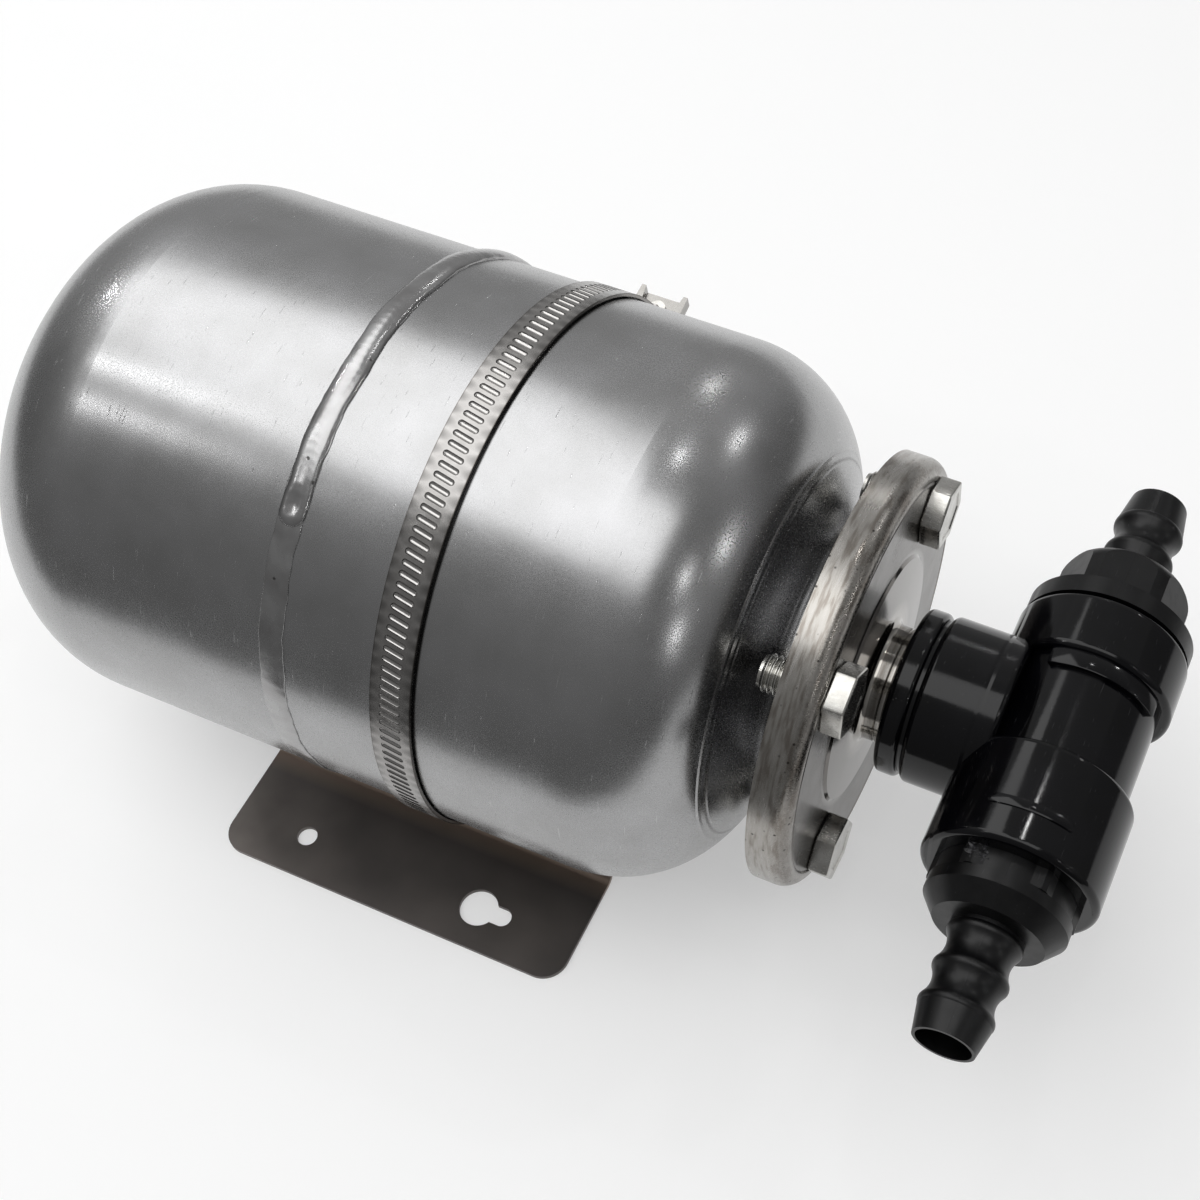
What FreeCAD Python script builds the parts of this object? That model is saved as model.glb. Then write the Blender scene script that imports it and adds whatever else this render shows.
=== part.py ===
import FreeCAD, Part
import math
import os

from FreeCAD import Placement, Rotation, Vector

# A small bladder accumulator tank for a water pump, lying on its side.
# The tank's axis is X, with the hose tee at the +X end and the air valve
# at the -X end. While the pieces are made, the tank's axis is the X axis
# and x = 0 is its girth weld. On saving, every piece moves so that z = 0
# is the plane that the bracket is screwed to, and x = 0, y = 0 is midway
# between the two round fixing holes.

# Tank shell
TANK_RADIUS = 60.0
SHELL_WALL = 1.2
REAR_TANGENT_X = -52.0
REAR_KNUCKLE_RADIUS = 30.4
REAR_CROWN_RADIUS = 76.6
FRONT_TANGENT_X = 61.2
FRONT_KNUCKLE_RADIUS = 28.5
FRONT_CONE_DEG = 69.0
NECK_RADIUS = 28.0
NECK_BLEND_RADIUS = 3.0
LIP_BLEND_RADIUS = 1.5
LIP_RADIUS = 44.5

# Girth weld
WELD_ROOT_GAP = 1.0
SEAM_WIDTH = 5.6
SEAM_PROUD = 0.25
BEAD_WIDTH = 5.2
BEAD_PROUD = 1.1
BEAD_START_DEG = 51.8
BEAD_END_DEG = 226.0

# Bladder
BLADDER_WALL = 1.6
BLADDER_STAND_OFF = 8.0
BLADDER_LIP_THICKNESS = 2.0
BLADDER_LIP_RADIUS = 43.8
BLADDER_NECK_CLEARANCE = 0.5
BLADDER_SHOULDER_X = 66.0
BLADDER_SHOULDER_RUN = 14.0

# Cover flange
COVER_SEAT_X = 107.3
COVER_THICKNESS = 2.0
COVER_RADIUS = 47.6
COVER_SKIRT_LENGTH = 8.4
COVER_SKIRT_WALL = 2.0
COVER_EDGE_ROUND = 3.9
COVER_GROOVE_WIDTH = 0.8
COVER_GROOVE_DEPTH = 0.3
COVER_DOME_RADIUS = 27.6
COVER_DOME_EDGE = 0.7
COVER_DOME_EDGE_RISE = 0.5
COVER_DOME_RISE = 0.9
COVER_DOME_FLAT_RADIUS = 16.0

# Flange bolts and nuts
BOLT_COUNT = 4
BOLT_CIRCLE_RADIUS = 37.3
BOLT_FIRST_DEG = 51.0
BOLT_RADIUS = 4.0
BOLT_HOLE_CLEARANCE = 0.5
BOLT_HEAD_FLATS = 13.0
BOLT_HEAD_HEIGHT = 4.6
BOLT_LENGTH = 14.5
BOLT_TIP_CHAMFER = 0.6
BOLT_TURN_DEG = (20.6, 35.1, 40.0, 51.9)
NUT_FLATS = 13.0
NUT_HEIGHT = 4.0
THREAD_CLEARANCE = 0.05
HEX_CHAMFER_DEG = 30.0

# Outlet spigot
SPIGOT_BORE_RADIUS = 8.0
SPIGOT_TAIL_RADIUS = 12.0
SPIGOT_FIT_CLEARANCE = 0.05
SPIGOT_RADIUS = 12.6
SPIGOT_FILLET_RADIUS = 1.6
SPIGOT_LINE_WIDTH = 0.4
SPIGOT_LINE_DEPTH = 0.25
SPIGOT_LINE_SETBACKS = (2.0, 0.8)
SPIGOT_NOSE_RADIUS = 12.2
SPIGOT_INSERTION = 12.0
SPIGOT_NOSE_CHAMFER = 0.8

# O-rings, at their squeezed size
O_RING_SECTION = 1.2
O_RING_GROOVE_DEPTH = 1.2
O_RING_GROOVE_WIDTH = 2.0
O_RING_FLOAT = 0.05

# Mounting bracket
SHEET = 1.2
SADDLE_CLEARANCE = 0.3
SADDLE_HALF_DEG = 27.0
FOOT_TOP_GAP = 7.6
FOOT_HALF_SPAN = 66.4
FOOT_BEND_Y = 38.5
BRACKET_REAR_X = -34.5
BRACKET_FRONT_X = 57.2
FOOT_CORNER_RADIUS = 6.0
BEND_INSIDE_RADIUS = 2.0
FIXING_HOLE_X = -15.6
FIXING_HOLE_EDGE_DISTANCE = 9.9
FIXING_HOLE_RADIUS = 2.45
KEYHOLE_X = 31.7
KEYHOLE_RADIUS = 4.6
KEYHOLE_SLOT_RADIUS = 2.3
KEYHOLE_SLOT_REACH = 6.2
BAND_SLOT_CLEARANCE = 0.6
BAND_SLOT_FROM = 0.4
BAND_SLOT_TO = 5.4

# Clamp band
BAND_X = 27.7
BAND_WIDTH = 9.0
BAND_THICKNESS = 0.7
BAND_CLEARANCE = 0.35
BAND_SADDLE_CLEARANCE = 0.15
BAND_LIFT_DEG = 26.0
BAND_THREAD_LENGTH = 4.6
BAND_THREAD_RADIUS = 0.75
BAND_THREAD_DEPTH = 0.42
BAND_THREAD_PITCH = 2.22
BAND_THREAD_SLANT_DEG = -11.0
BAND_THREAD_MARGIN_DEG = 3.0
BAND_TAIL_FROM_DEG = 153.0
BAND_TAIL_TO_DEG = 176.0

# Clamp housing and worm screw
HOUSING_DEG = 171.0
HOUSING_LENGTH = 13.0
HOUSING_WIDTH = 10.6
HOUSING_WALL = 0.85
HOUSING_CORNER = 1.2
HOUSING_EAR_HEIGHT = 0.9
HOUSING_EAR_LENGTH = 1.6
HOUSING_EAR_OVERLAP = 1.5
HOUSING_EAR_BASE_WIDTH = 2.4
HOUSING_EAR_TOP_WIDTH = 1.0
HOUSING_EAR_FLARE = 0.7
SCREW_RADIUS = 2.7
SCREW_NECK_RADIUS = 1.9
SCREW_CLEARANCE = 0.08
SCREW_BAND_CLEARANCE = 0.1
SCREW_HEAD_FLATS = 6.5
SCREW_HEAD_HEIGHT = 4.5
SCREW_COLLAR_LENGTH = 1.5
SCREW_SLOT_WIDTH = 1.0
SCREW_SLOT_DEPTH = 1.6
SCREW_END_WALL = 1.0
SCREW_TIP_PROUD = 1.2

# Tee
TEE_X = 149.0
TEE_BODY_RADIUS = 16.2
TEE_HOUSING_RADIUS = 18.6
TEE_LOWER_END = 34.0
TEE_LOWER_STEP = 10.4
TEE_UPPER_END = 26.2
TEE_UPPER_STEP = 12.4
TEE_EDGE_ROUND = 1.4
TEE_BRANCH_RADIUS = 18.2
TEE_BRANCH_FACE_X = 119.6
TEE_BRANCH_INNER_X = 137.0
TEE_BORE_RADIUS = 10.0
TEE_SOCKET_RADIUS = 14.4
TEE_SOCKET_DEPTH = 9.0
TEE_SPIGOT_CLEARANCE = 0.1

# Branch collar
COLLAR_RADIUS = 18.0
COLLAR_LENGTH = 4.8
COLLAR_GAP = 0.8
COLLAR_EDGE_ROUND = 1.2
COLLAR_SLEEVE_RADIUS = 16.6
COLLAR_SPIGOT_CLEARANCE = 0.15

# Hose tails
TAIL_BORE_RADIUS = 5.7
TAIL_TIP_RADIUS = 6.4
TAIL_RIDGE_RADIUS = 7.8
TAIL_WAIST_RADIUS = 6.65
TAIL_RIDGE_HALF_RUN = 0.8
TAIL_RIDGE_ROUND = 0.22
TAIL_PLUG_CLEARANCE = 0.1
TAIL_PLUG_LENGTH = 8.0
LOWER_HEX_FLATS = 27.0
LOWER_HEX_HEIGHT = 4.3
LOWER_COLLAR_RADIUS = 14.9
LOWER_COLLAR_HEIGHT = 2.7
LOWER_CONE_HEIGHT = 4.0
LOWER_CONE_TOP_RADIUS = 11.6
LOWER_NECK_RADIUS = 7.6
LOWER_RIDGES = (12.6, 20.5, 28.3)
LOWER_WAISTS = (16.0, 25.0)
LOWER_LENGTH = 35.0
UPPER_FLANGE_GAP = 0.6
UPPER_FLANGE_RADIUS = 18.1
UPPER_FLANGE_THICKNESS = 4.2
UPPER_STEP_RUN = 2.4
UPPER_BOSS_RADIUS = 14.2
UPPER_BOSS_FLATS = 26.0
UPPER_BOSS_TOP = 14.0
UPPER_SHOULDER_TOP = 17.6
UPPER_SHOULDER_RADIUS = 8.6
UPPER_NECK_RADIUS = 6.5
UPPER_NECK_END = 20.8
UPPER_RIDGES = (24.2, 31.8)
UPPER_WAISTS = (28.4,)
UPPER_LENGTH = 39.8

# Air valve
VALVE_HOLE_RADIUS = 5.0
VALVE_FIT_CLEARANCE = 0.05
VALVE_SHOULDER_RADIUS = 7.5
VALVE_SHOULDER_LENGTH = 2.5
VALVE_INSIDE_LENGTH = 4.0
VALVE_STEM_RADIUS = 3.85
VALVE_STEM_LENGTH = 9.0
VALVE_CORE_RADIUS = 2.3
VALVE_CORE_LENGTH = 9.0
VALVE_CORE_DEPTH = 2.0
VALVE_BORE_RADIUS = 1.9
CORE_CHAMBER_RADIUS = 1.7
CORE_END_WALL = 1.2
PIN_RADIUS = 0.6
PIN_CLEARANCE = 0.06
PIN_HEAD_RADIUS = 1.2
PIN_HEAD_LENGTH = 0.8
SEAL_RADIUS = 1.55
SEAL_LENGTH = 1.2
SEAL_CLEARANCE = 0.02
POPPET_LENGTH = 0.8
SPRING_WIRE_RADIUS = 0.15
SPRING_RADIUS = 1.0
SPRING_TURNS = 6
CAP_RADIUS = 5.4
CAP_CLEARANCE = 0.1
CAP_LENGTH = 12.0
CAP_END_WALL = 2.0
CAP_GAP = 0.3

# Sizes that follow from the ones above
COVER_BACK_X = COVER_SEAT_X - COVER_THICKNESS
LIP_FRONT_X = COVER_BACK_X - BLADDER_LIP_THICKNESS
LIP_BACK_X = LIP_FRONT_X - SHELL_WALL
BOLT_HOLE_RADIUS = BOLT_RADIUS + BOLT_HOLE_CLEARANCE
DOME_TOP_X = COVER_SEAT_X + COVER_DOME_RISE
SADDLE_RADIUS = TANK_RADIUS + SADDLE_CLEARANCE
FOOT_TOP_DROP = TANK_RADIUS + FOOT_TOP_GAP
AXIS_HEIGHT = FOOT_TOP_DROP + SHEET
FIXING_HOLE_Y = FOOT_HALF_SPAN - FIXING_HOLE_EDGE_DISTANCE
BAND_INNER_RADIUS = TANK_RADIUS + BAND_CLEARANCE
BAND_OUTER_RADIUS = BAND_INNER_RADIUS + BAND_THICKNESS
TAIL_OUTER_RADIUS = BAND_OUTER_RADIUS + BAND_THICKNESS
SCREW_AXIS_RADIUS = TAIL_OUTER_RADIUS + SCREW_BAND_CLEARANCE + SCREW_RADIUS
COLLAR_BACK_X = TEE_BRANCH_FACE_X - COLLAR_GAP - COLLAR_LENGTH
SPIGOT_END_X = TEE_BRANCH_FACE_X + SPIGOT_INSERTION
SPIGOT_GROOVE_X = TEE_BRANCH_FACE_X + SPIGOT_INSERTION / 2
TAIL_PLUG_RADIUS = TEE_SOCKET_RADIUS - TAIL_PLUG_CLEARANCE

X_AXIS = Vector(1, 0, 0)
Y_AXIS = Vector(0, 1, 0)
Z_AXIS = Vector(0, 0, 1)
ORIGIN = Vector(0, 0, 0)


def outline_face(start, steps):
    """A closed flat face from (u, v) points: a step is a point, or a pair
    of points (middle, end) for an arc."""
    edges = []
    here = start
    for step in list(steps) + [start]:
        is_arc = isinstance(step[0], tuple)
        there = step[1] if is_arc else step
        if is_arc:
            middle = step[0]
            arc = Part.Arc(Vector(*here, 0), Vector(*middle, 0), Vector(*there, 0))
            edges.append(arc.toShape())
        elif math.dist(here, there) > 1e-6:
            edges.append(Part.makeLine(Vector(*here, 0), Vector(*there, 0)))
        here = there
    return Part.Face(Part.Wire(edges))


def turned(start, steps):
    """A solid turned about the X axis from an outline of (x, radius) points."""
    return outline_face(start, steps).revolve(ORIGIN, X_AXIS, 360)


def extruded_along_x(face, x_from, length):
    """A (y, z) outline pushed along X."""
    solid = face.extrude(Vector(0, 0, length))
    solid.Placement = Placement(Vector(x_from, 0, 0), Rotation(Vector(1, 1, 1), 120))
    return solid


def on_axis_cylinder(radius, x_from, x_to):
    return Part.makeCylinder(radius, x_to - x_from, Vector(x_from, 0, 0), X_AXIS)


def ring(inner, outer, x_from, x_to):
    return on_axis_cylinder(outer, x_from, x_to).cut(on_axis_cylinder(inner, x_from, x_to))


def polar(radius, degrees):
    """(y, z) at an angle that starts at -Y and rises over the top, +Z."""
    angle = math.radians(degrees)
    return (-radius * math.cos(angle), radius * math.sin(angle))


def from_bottom(radius, degrees):
    """(y, z) at an angle that starts at the tank's lowest line."""
    angle = math.radians(degrees)
    return (radius * math.sin(angle), -radius * math.cos(angle))


def point_between(centre, radius, direction_a, direction_b):
    """The point of a circle midway between two directions."""
    u = direction_a[0] + direction_b[0]
    v = direction_a[1] + direction_b[1]
    size = math.hypot(u, v)
    return (centre[0] + radius * u / size, centre[1] + radius * v / size)


def hexagon(flats, x_from, x_to):
    """A hexagonal prism along X, with its corners on radius flats / sqrt 3."""
    corner = flats / math.sqrt(3)
    points = []
    for side in range(7):
        angle = math.radians(60 * side)
        points.append(Vector(x_from, corner * math.cos(angle), corner * math.sin(angle)))
    return Part.Face(Part.makePolygon(points)).extrude(Vector(x_to - x_from, 0, 0))


def chamfered_hexagon(flats, x_from, x_to):
    """A hexagonal prism whose corners are turned off at the x_to end."""
    corner = flats / math.sqrt(3) + 0.01
    flat = flats / 2
    drop = (corner - flat) * math.tan(math.radians(HEX_CHAMFER_DEG))
    envelope = turned((x_from, 0), [(x_from, corner), (x_to - drop, corner), (x_to, flat), (x_to, 0)])
    return hexagon(flats, x_from, x_to).common(envelope)


def bolt_places():
    """The (y, z) places of the flange bolts."""
    step = 360 / BOLT_COUNT
    return [polar(BOLT_CIRCLE_RADIUS, BOLT_FIRST_DEG + step * k) for k in range(BOLT_COUNT)]


def drill_bolt_holes(shape):
    """Cut the bolt holes through the lip, the bladder's lip or the cover."""
    for y, z in bolt_places():
        drill = Part.makeCylinder(BOLT_HOLE_RADIUS, BOLT_CIRCLE_RADIUS,
                                  Vector(LIP_BACK_X - SHELL_WALL, y, z), X_AXIS)
        shape = shape.cut(drill)
    return shape


# Tank shells

def rear_dome(offset):
    """The rear end's outline, offset inwards: its tangent point on the
    cylinder, the knuckle and the crown."""
    knuckle = REAR_KNUCKLE_RADIUS - offset
    crown = REAR_CROWN_RADIUS - offset
    knuckle_centre = (REAR_TANGENT_X, TANK_RADIUS - REAR_KNUCKLE_RADIUS)
    apart = REAR_CROWN_RADIUS - REAR_KNUCKLE_RADIUS
    crown_x = REAR_TANGENT_X + math.sqrt(apart ** 2 - knuckle_centre[1] ** 2)
    toward = ((REAR_TANGENT_X - crown_x) / apart, knuckle_centre[1] / apart)
    join = (crown_x + crown * toward[0], crown * toward[1])
    return {
        "tangent": (REAR_TANGENT_X, TANK_RADIUS - offset),
        "knuckle_middle": point_between(knuckle_centre, knuckle, (0, 1), toward),
        "join": join,
        "crown_x": crown_x,
        "crown": crown,
    }


def crown_point(dome, radius_from_axis):
    run = math.sqrt(dome["crown"] ** 2 - radius_from_axis ** 2)
    return (dome["crown_x"] - run, radius_from_axis)


def crown_arc(dome, radius_from_axis):
    """The crown's arc from its join with the knuckle to a radius."""
    middle = (dome["join"][1] + radius_from_axis) / 2
    return (crown_point(dome, middle), crown_point(dome, radius_from_axis))


def rear_apex_x():
    dome = rear_dome(0)
    return dome["crown_x"] - dome["crown"]


def rear_shell():
    outer = rear_dome(0)
    inner = rear_dome(SHELL_WALL)
    edge_x = -WELD_ROOT_GAP / 2
    inner_edge = crown_point(inner, VALVE_HOLE_RADIUS)
    inner_middle = crown_point(inner, (inner["join"][1] + VALVE_HOLE_RADIUS) / 2)
    return turned((edge_x, TANK_RADIUS), [
        outer["tangent"],
        (outer["knuckle_middle"], outer["join"]),
        crown_arc(outer, VALVE_HOLE_RADIUS),
        inner_edge,
        (inner_middle, inner["join"]),
        (inner["knuckle_middle"], inner["tangent"]),
        (edge_x, TANK_RADIUS - SHELL_WALL),
    ])


def front_end_path(offset):
    """The front end's outline from the cylinder to the lip, offset inwards."""
    angle = math.radians(FRONT_CONE_DEG)
    normal = (math.sin(angle), math.cos(angle))
    knuckle_centre = (FRONT_TANGENT_X, TANK_RADIUS - FRONT_KNUCKLE_RADIUS)
    knuckle = FRONT_KNUCKLE_RADIUS - offset
    cone_start = (knuckle_centre[0] + FRONT_KNUCKLE_RADIUS * normal[0],
                  knuckle_centre[1] + FRONT_KNUCKLE_RADIUS * normal[1])
    blend_v = NECK_RADIUS + NECK_BLEND_RADIUS
    blend_u = cone_start[0] + (NECK_BLEND_RADIUS - (blend_v - cone_start[1]) * normal[1]) / normal[0]
    blend = NECK_BLEND_RADIUS + offset
    lip_blend = LIP_BLEND_RADIUS + offset
    lip_centre = (LIP_BACK_X - LIP_BLEND_RADIUS, NECK_RADIUS + LIP_BLEND_RADIUS)
    diagonal = math.sqrt(0.5)
    return [
        (FRONT_TANGENT_X, TANK_RADIUS - offset),
        (point_between(knuckle_centre, knuckle, (0, 1), normal),
         (knuckle_centre[0] + knuckle * normal[0], knuckle_centre[1] + knuckle * normal[1])),
        (blend_u - blend * normal[0], blend_v - blend * normal[1]),
        (point_between((blend_u, blend_v), blend, (0, -1), (-normal[0], -normal[1])),
         (blend_u, blend_v - blend)),
        (lip_centre[0], lip_centre[1] - lip_blend),
        ((lip_centre[0] + lip_blend * diagonal, lip_centre[1] - lip_blend * diagonal),
         (lip_centre[0] + lip_blend, lip_centre[1])),
        (LIP_BACK_X + offset, LIP_RADIUS),
    ]


def reversed_path(path):
    """The same path walked the other way, with its arcs kept."""
    ends = [step[1] if isinstance(step[0], tuple) else step for step in path]
    back = [ends[-1]]
    for index in range(len(path) - 1, 0, -1):
        step = path[index]
        target = ends[index - 1]
        back.append((step[0], target) if isinstance(step[0], tuple) else target)
    return back


def front_shell():
    edge_x = WELD_ROOT_GAP / 2
    steps = front_end_path(0) + reversed_path(front_end_path(SHELL_WALL))
    steps.append((edge_x, TANK_RADIUS - SHELL_WALL))
    return drill_bolt_holes(turned((edge_x, TANK_RADIUS), steps))


def girth_weld():
    """A flat seam all the way round, and the proud bead over the top part
    of it, which ends in a rounded crater low on the front."""
    inner = TANK_RADIUS - SHELL_WALL
    half_gap = WELD_ROOT_GAP / 2
    half = SEAM_WIDTH / 2
    seam = turned((-half_gap, inner), [
        (half_gap, inner),
        (half_gap, TANK_RADIUS),
        (half, TANK_RADIUS),
        (half - SEAM_PROUD, TANK_RADIUS + SEAM_PROUD),
        (SEAM_PROUD - half, TANK_RADIUS + SEAM_PROUD),
        (-half, TANK_RADIUS),
        (-half_gap, TANK_RADIUS),
    ])
    tube = (BEAD_WIDTH ** 2 / 4 + BEAD_PROUD ** 2) / (2 * BEAD_PROUD)
    path_radius = TANK_RADIUS + BEAD_PROUD - tube
    centre = polar(path_radius, BEAD_START_DEG)
    section = Part.Face(Part.Wire(Part.makeCircle(
        tube, Vector(0, *centre), Vector(0, centre[1], -centre[0]))))
    bead = section.revolve(ORIGIN, -X_AXIS, BEAD_END_DEG - BEAD_START_DEG)
    for degrees in (BEAD_START_DEG, BEAD_END_DEG):
        bead = bead.fuse(Part.makeSphere(tube, Vector(0, *polar(path_radius, degrees))))
    bead = bead.cut(on_axis_cylinder(TANK_RADIUS, -BEAD_WIDTH, BEAD_WIDTH))
    return seam.fuse(bead).removeSplitter()


def bladder():
    """A rubber bag with a flat lip, hanging in the tank from the cover."""
    back = rear_dome(BLADDER_STAND_OFF)
    back_inner = rear_dome(BLADDER_STAND_OFF + BLADDER_WALL)
    bag = TANK_RADIUS - BLADDER_STAND_OFF
    neck = NECK_RADIUS - SHELL_WALL - BLADDER_NECK_CLEARANCE
    bore = neck - BLADDER_WALL
    blend_x = LIP_BACK_X - LIP_BLEND_RADIUS
    blend_v = NECK_RADIUS + LIP_BLEND_RADIUS
    blend = blend_v - neck
    turn_from = math.acos((LIP_FRONT_X - blend_x) / blend)
    half_turn = (turn_from + math.pi / 2) / 2
    throat_x = BLADDER_SHOULDER_X + BLADDER_SHOULDER_RUN + BLADDER_WALL
    return drill_bolt_holes(turned((COVER_BACK_X, BLADDER_LIP_RADIUS), [
        (LIP_FRONT_X, BLADDER_LIP_RADIUS),
        (LIP_FRONT_X, blend_v - blend * math.sin(turn_from)),
        ((blend_x + blend * math.cos(half_turn), blend_v - blend * math.sin(half_turn)),
         (blend_x, neck)),
        (throat_x, neck),
        (BLADDER_SHOULDER_X, bag),
        back["tangent"],
        (back["knuckle_middle"], back["join"]),
        crown_arc(back, 0),
        crown_point(back_inner, 0),
        (crown_point(back_inner, back_inner["join"][1] / 2), back_inner["join"]),
        (back_inner["knuckle_middle"], back_inner["tangent"]),
        (BLADDER_SHOULDER_X - BLADDER_WALL, bag - BLADDER_WALL),
        (throat_x - BLADDER_WALL, bore),
        (COVER_BACK_X, bore),
    ]))


# Cover, bolts and spigot

def cover_flange():
    """A pressed cover with a deep skirt, a rounded edge with a fine groove
    inside it, a flat seat for the bolts and a low dome round the spigot."""
    round_centre = (COVER_SEAT_X - COVER_EDGE_ROUND, COVER_RADIUS - COVER_EDGE_ROUND)
    groove_v = round_centre[1] - COVER_GROOVE_WIDTH / 2
    skirt_back_x = COVER_SEAT_X - COVER_SKIRT_LENGTH
    skirt = COVER_RADIUS - COVER_SKIRT_WALL
    inner_round = COVER_SKIRT_WALL / 2
    hole = SPIGOT_TAIL_RADIUS + SPIGOT_FIT_CLEARANCE
    cover = turned((skirt_back_x, COVER_RADIUS), [
        (round_centre[0], COVER_RADIUS),
        (point_between(round_centre, COVER_EDGE_ROUND, (0, 1), (1, 0)),
         (COVER_SEAT_X, round_centre[1])),
        (COVER_SEAT_X - COVER_GROOVE_DEPTH, groove_v),
        (COVER_SEAT_X, round_centre[1] - COVER_GROOVE_WIDTH),
        (COVER_SEAT_X, COVER_DOME_RADIUS),
        (COVER_SEAT_X + COVER_DOME_EDGE_RISE, COVER_DOME_RADIUS - COVER_DOME_EDGE),
        (DOME_TOP_X, COVER_DOME_FLAT_RADIUS),
        (DOME_TOP_X, hole),
        (DOME_TOP_X - COVER_THICKNESS, hole),
        (DOME_TOP_X - COVER_THICKNESS, COVER_DOME_FLAT_RADIUS),
        (COVER_BACK_X, COVER_DOME_RADIUS - COVER_DOME_EDGE),
        (COVER_BACK_X, skirt - inner_round),
        (COVER_BACK_X - inner_round, skirt),
        (skirt_back_x, skirt),
    ])
    return drill_bolt_holes(cover)


def flange_bolts():
    tip_x = COVER_SEAT_X - BOLT_LENGTH
    bolts = []
    for (y, z), turn in zip(bolt_places(), BOLT_TURN_DEG):
        head = chamfered_hexagon(BOLT_HEAD_FLATS, COVER_SEAT_X, COVER_SEAT_X + BOLT_HEAD_HEIGHT)
        shank = turned((COVER_SEAT_X, 0), [
            (COVER_SEAT_X, BOLT_RADIUS),
            (tip_x + BOLT_TIP_CHAMFER, BOLT_RADIUS),
            (tip_x, BOLT_RADIUS - BOLT_TIP_CHAMFER),
            (tip_x, 0),
        ])
        bolt = head.fuse(shank).removeSplitter()
        bolt.rotate(ORIGIN, X_AXIS, turn)
        bolt.translate(Vector(0, y, z))
        bolts.append(bolt)
    return Part.makeCompound(bolts)


def flange_nuts():
    nuts = []
    for (y, z), turn in zip(bolt_places(), BOLT_TURN_DEG):
        nut = chamfered_hexagon(NUT_FLATS, 0, NUT_HEIGHT)
        nut = nut.cut(on_axis_cylinder(BOLT_RADIUS + THREAD_CLEARANCE, -1, NUT_HEIGHT + 1))
        nut.rotate(ORIGIN, Z_AXIS, 180)
        nut.rotate(ORIGIN, X_AXIS, -turn)
        nut.translate(Vector(LIP_BACK_X, y, z))
        nuts.append(nut)
    return Part.makeCompound(nuts)


def groove_ring(surface_radius, middle_x):
    """An O-ring lying in the groove of a plug of the given radius."""
    floor = surface_radius - O_RING_GROOVE_DEPTH
    centre = floor + O_RING_FLOAT + O_RING_SECTION / 2
    return Part.makeTorus(centre, O_RING_SECTION / 2, Vector(middle_x, 0, 0), X_AXIS)


def cut_ring_groove(shape, surface_radius, middle_x):
    half = O_RING_GROOVE_WIDTH / 2
    floor = surface_radius - O_RING_GROOVE_DEPTH
    return shape.cut(ring(floor, surface_radius + 1, middle_x - half, middle_x + half))


def outlet_spigot():
    """A turned tube with a fillet at the dome, two fine lines before the
    collar and a nose in the tee's branch."""
    fillet_x = DOME_TOP_X + SPIGOT_FILLET_RADIUS
    fillet_v = SPIGOT_RADIUS + SPIGOT_FILLET_RADIUS
    steps = [
        (COVER_BACK_X, SPIGOT_TAIL_RADIUS),
        (DOME_TOP_X, SPIGOT_TAIL_RADIUS),
        (DOME_TOP_X, fillet_v),
        (point_between((fillet_x, fillet_v), SPIGOT_FILLET_RADIUS, (-1, 0), (0, -1)),
         (fillet_x, SPIGOT_RADIUS)),
    ]
    for setback in SPIGOT_LINE_SETBACKS:
        line_x = COLLAR_BACK_X - setback
        steps.append((line_x - SPIGOT_LINE_WIDTH / 2, SPIGOT_RADIUS))
        steps.append((line_x, SPIGOT_RADIUS - SPIGOT_LINE_DEPTH))
        steps.append((line_x + SPIGOT_LINE_WIDTH / 2, SPIGOT_RADIUS))
    steps += [
        (COLLAR_BACK_X, SPIGOT_RADIUS),
        (COLLAR_BACK_X, SPIGOT_NOSE_RADIUS),
        (SPIGOT_END_X - SPIGOT_NOSE_CHAMFER, SPIGOT_NOSE_RADIUS),
        (SPIGOT_END_X, SPIGOT_NOSE_RADIUS - SPIGOT_NOSE_CHAMFER),
        (SPIGOT_END_X, SPIGOT_BORE_RADIUS),
    ]
    spigot = turned((COVER_BACK_X, SPIGOT_BORE_RADIUS), steps)
    return cut_ring_groove(spigot, SPIGOT_NOSE_RADIUS, SPIGOT_GROOVE_X)


def spigot_o_ring():
    return groove_ring(SPIGOT_NOSE_RADIUS, SPIGOT_GROOVE_X)


# Bracket and clamp

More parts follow.
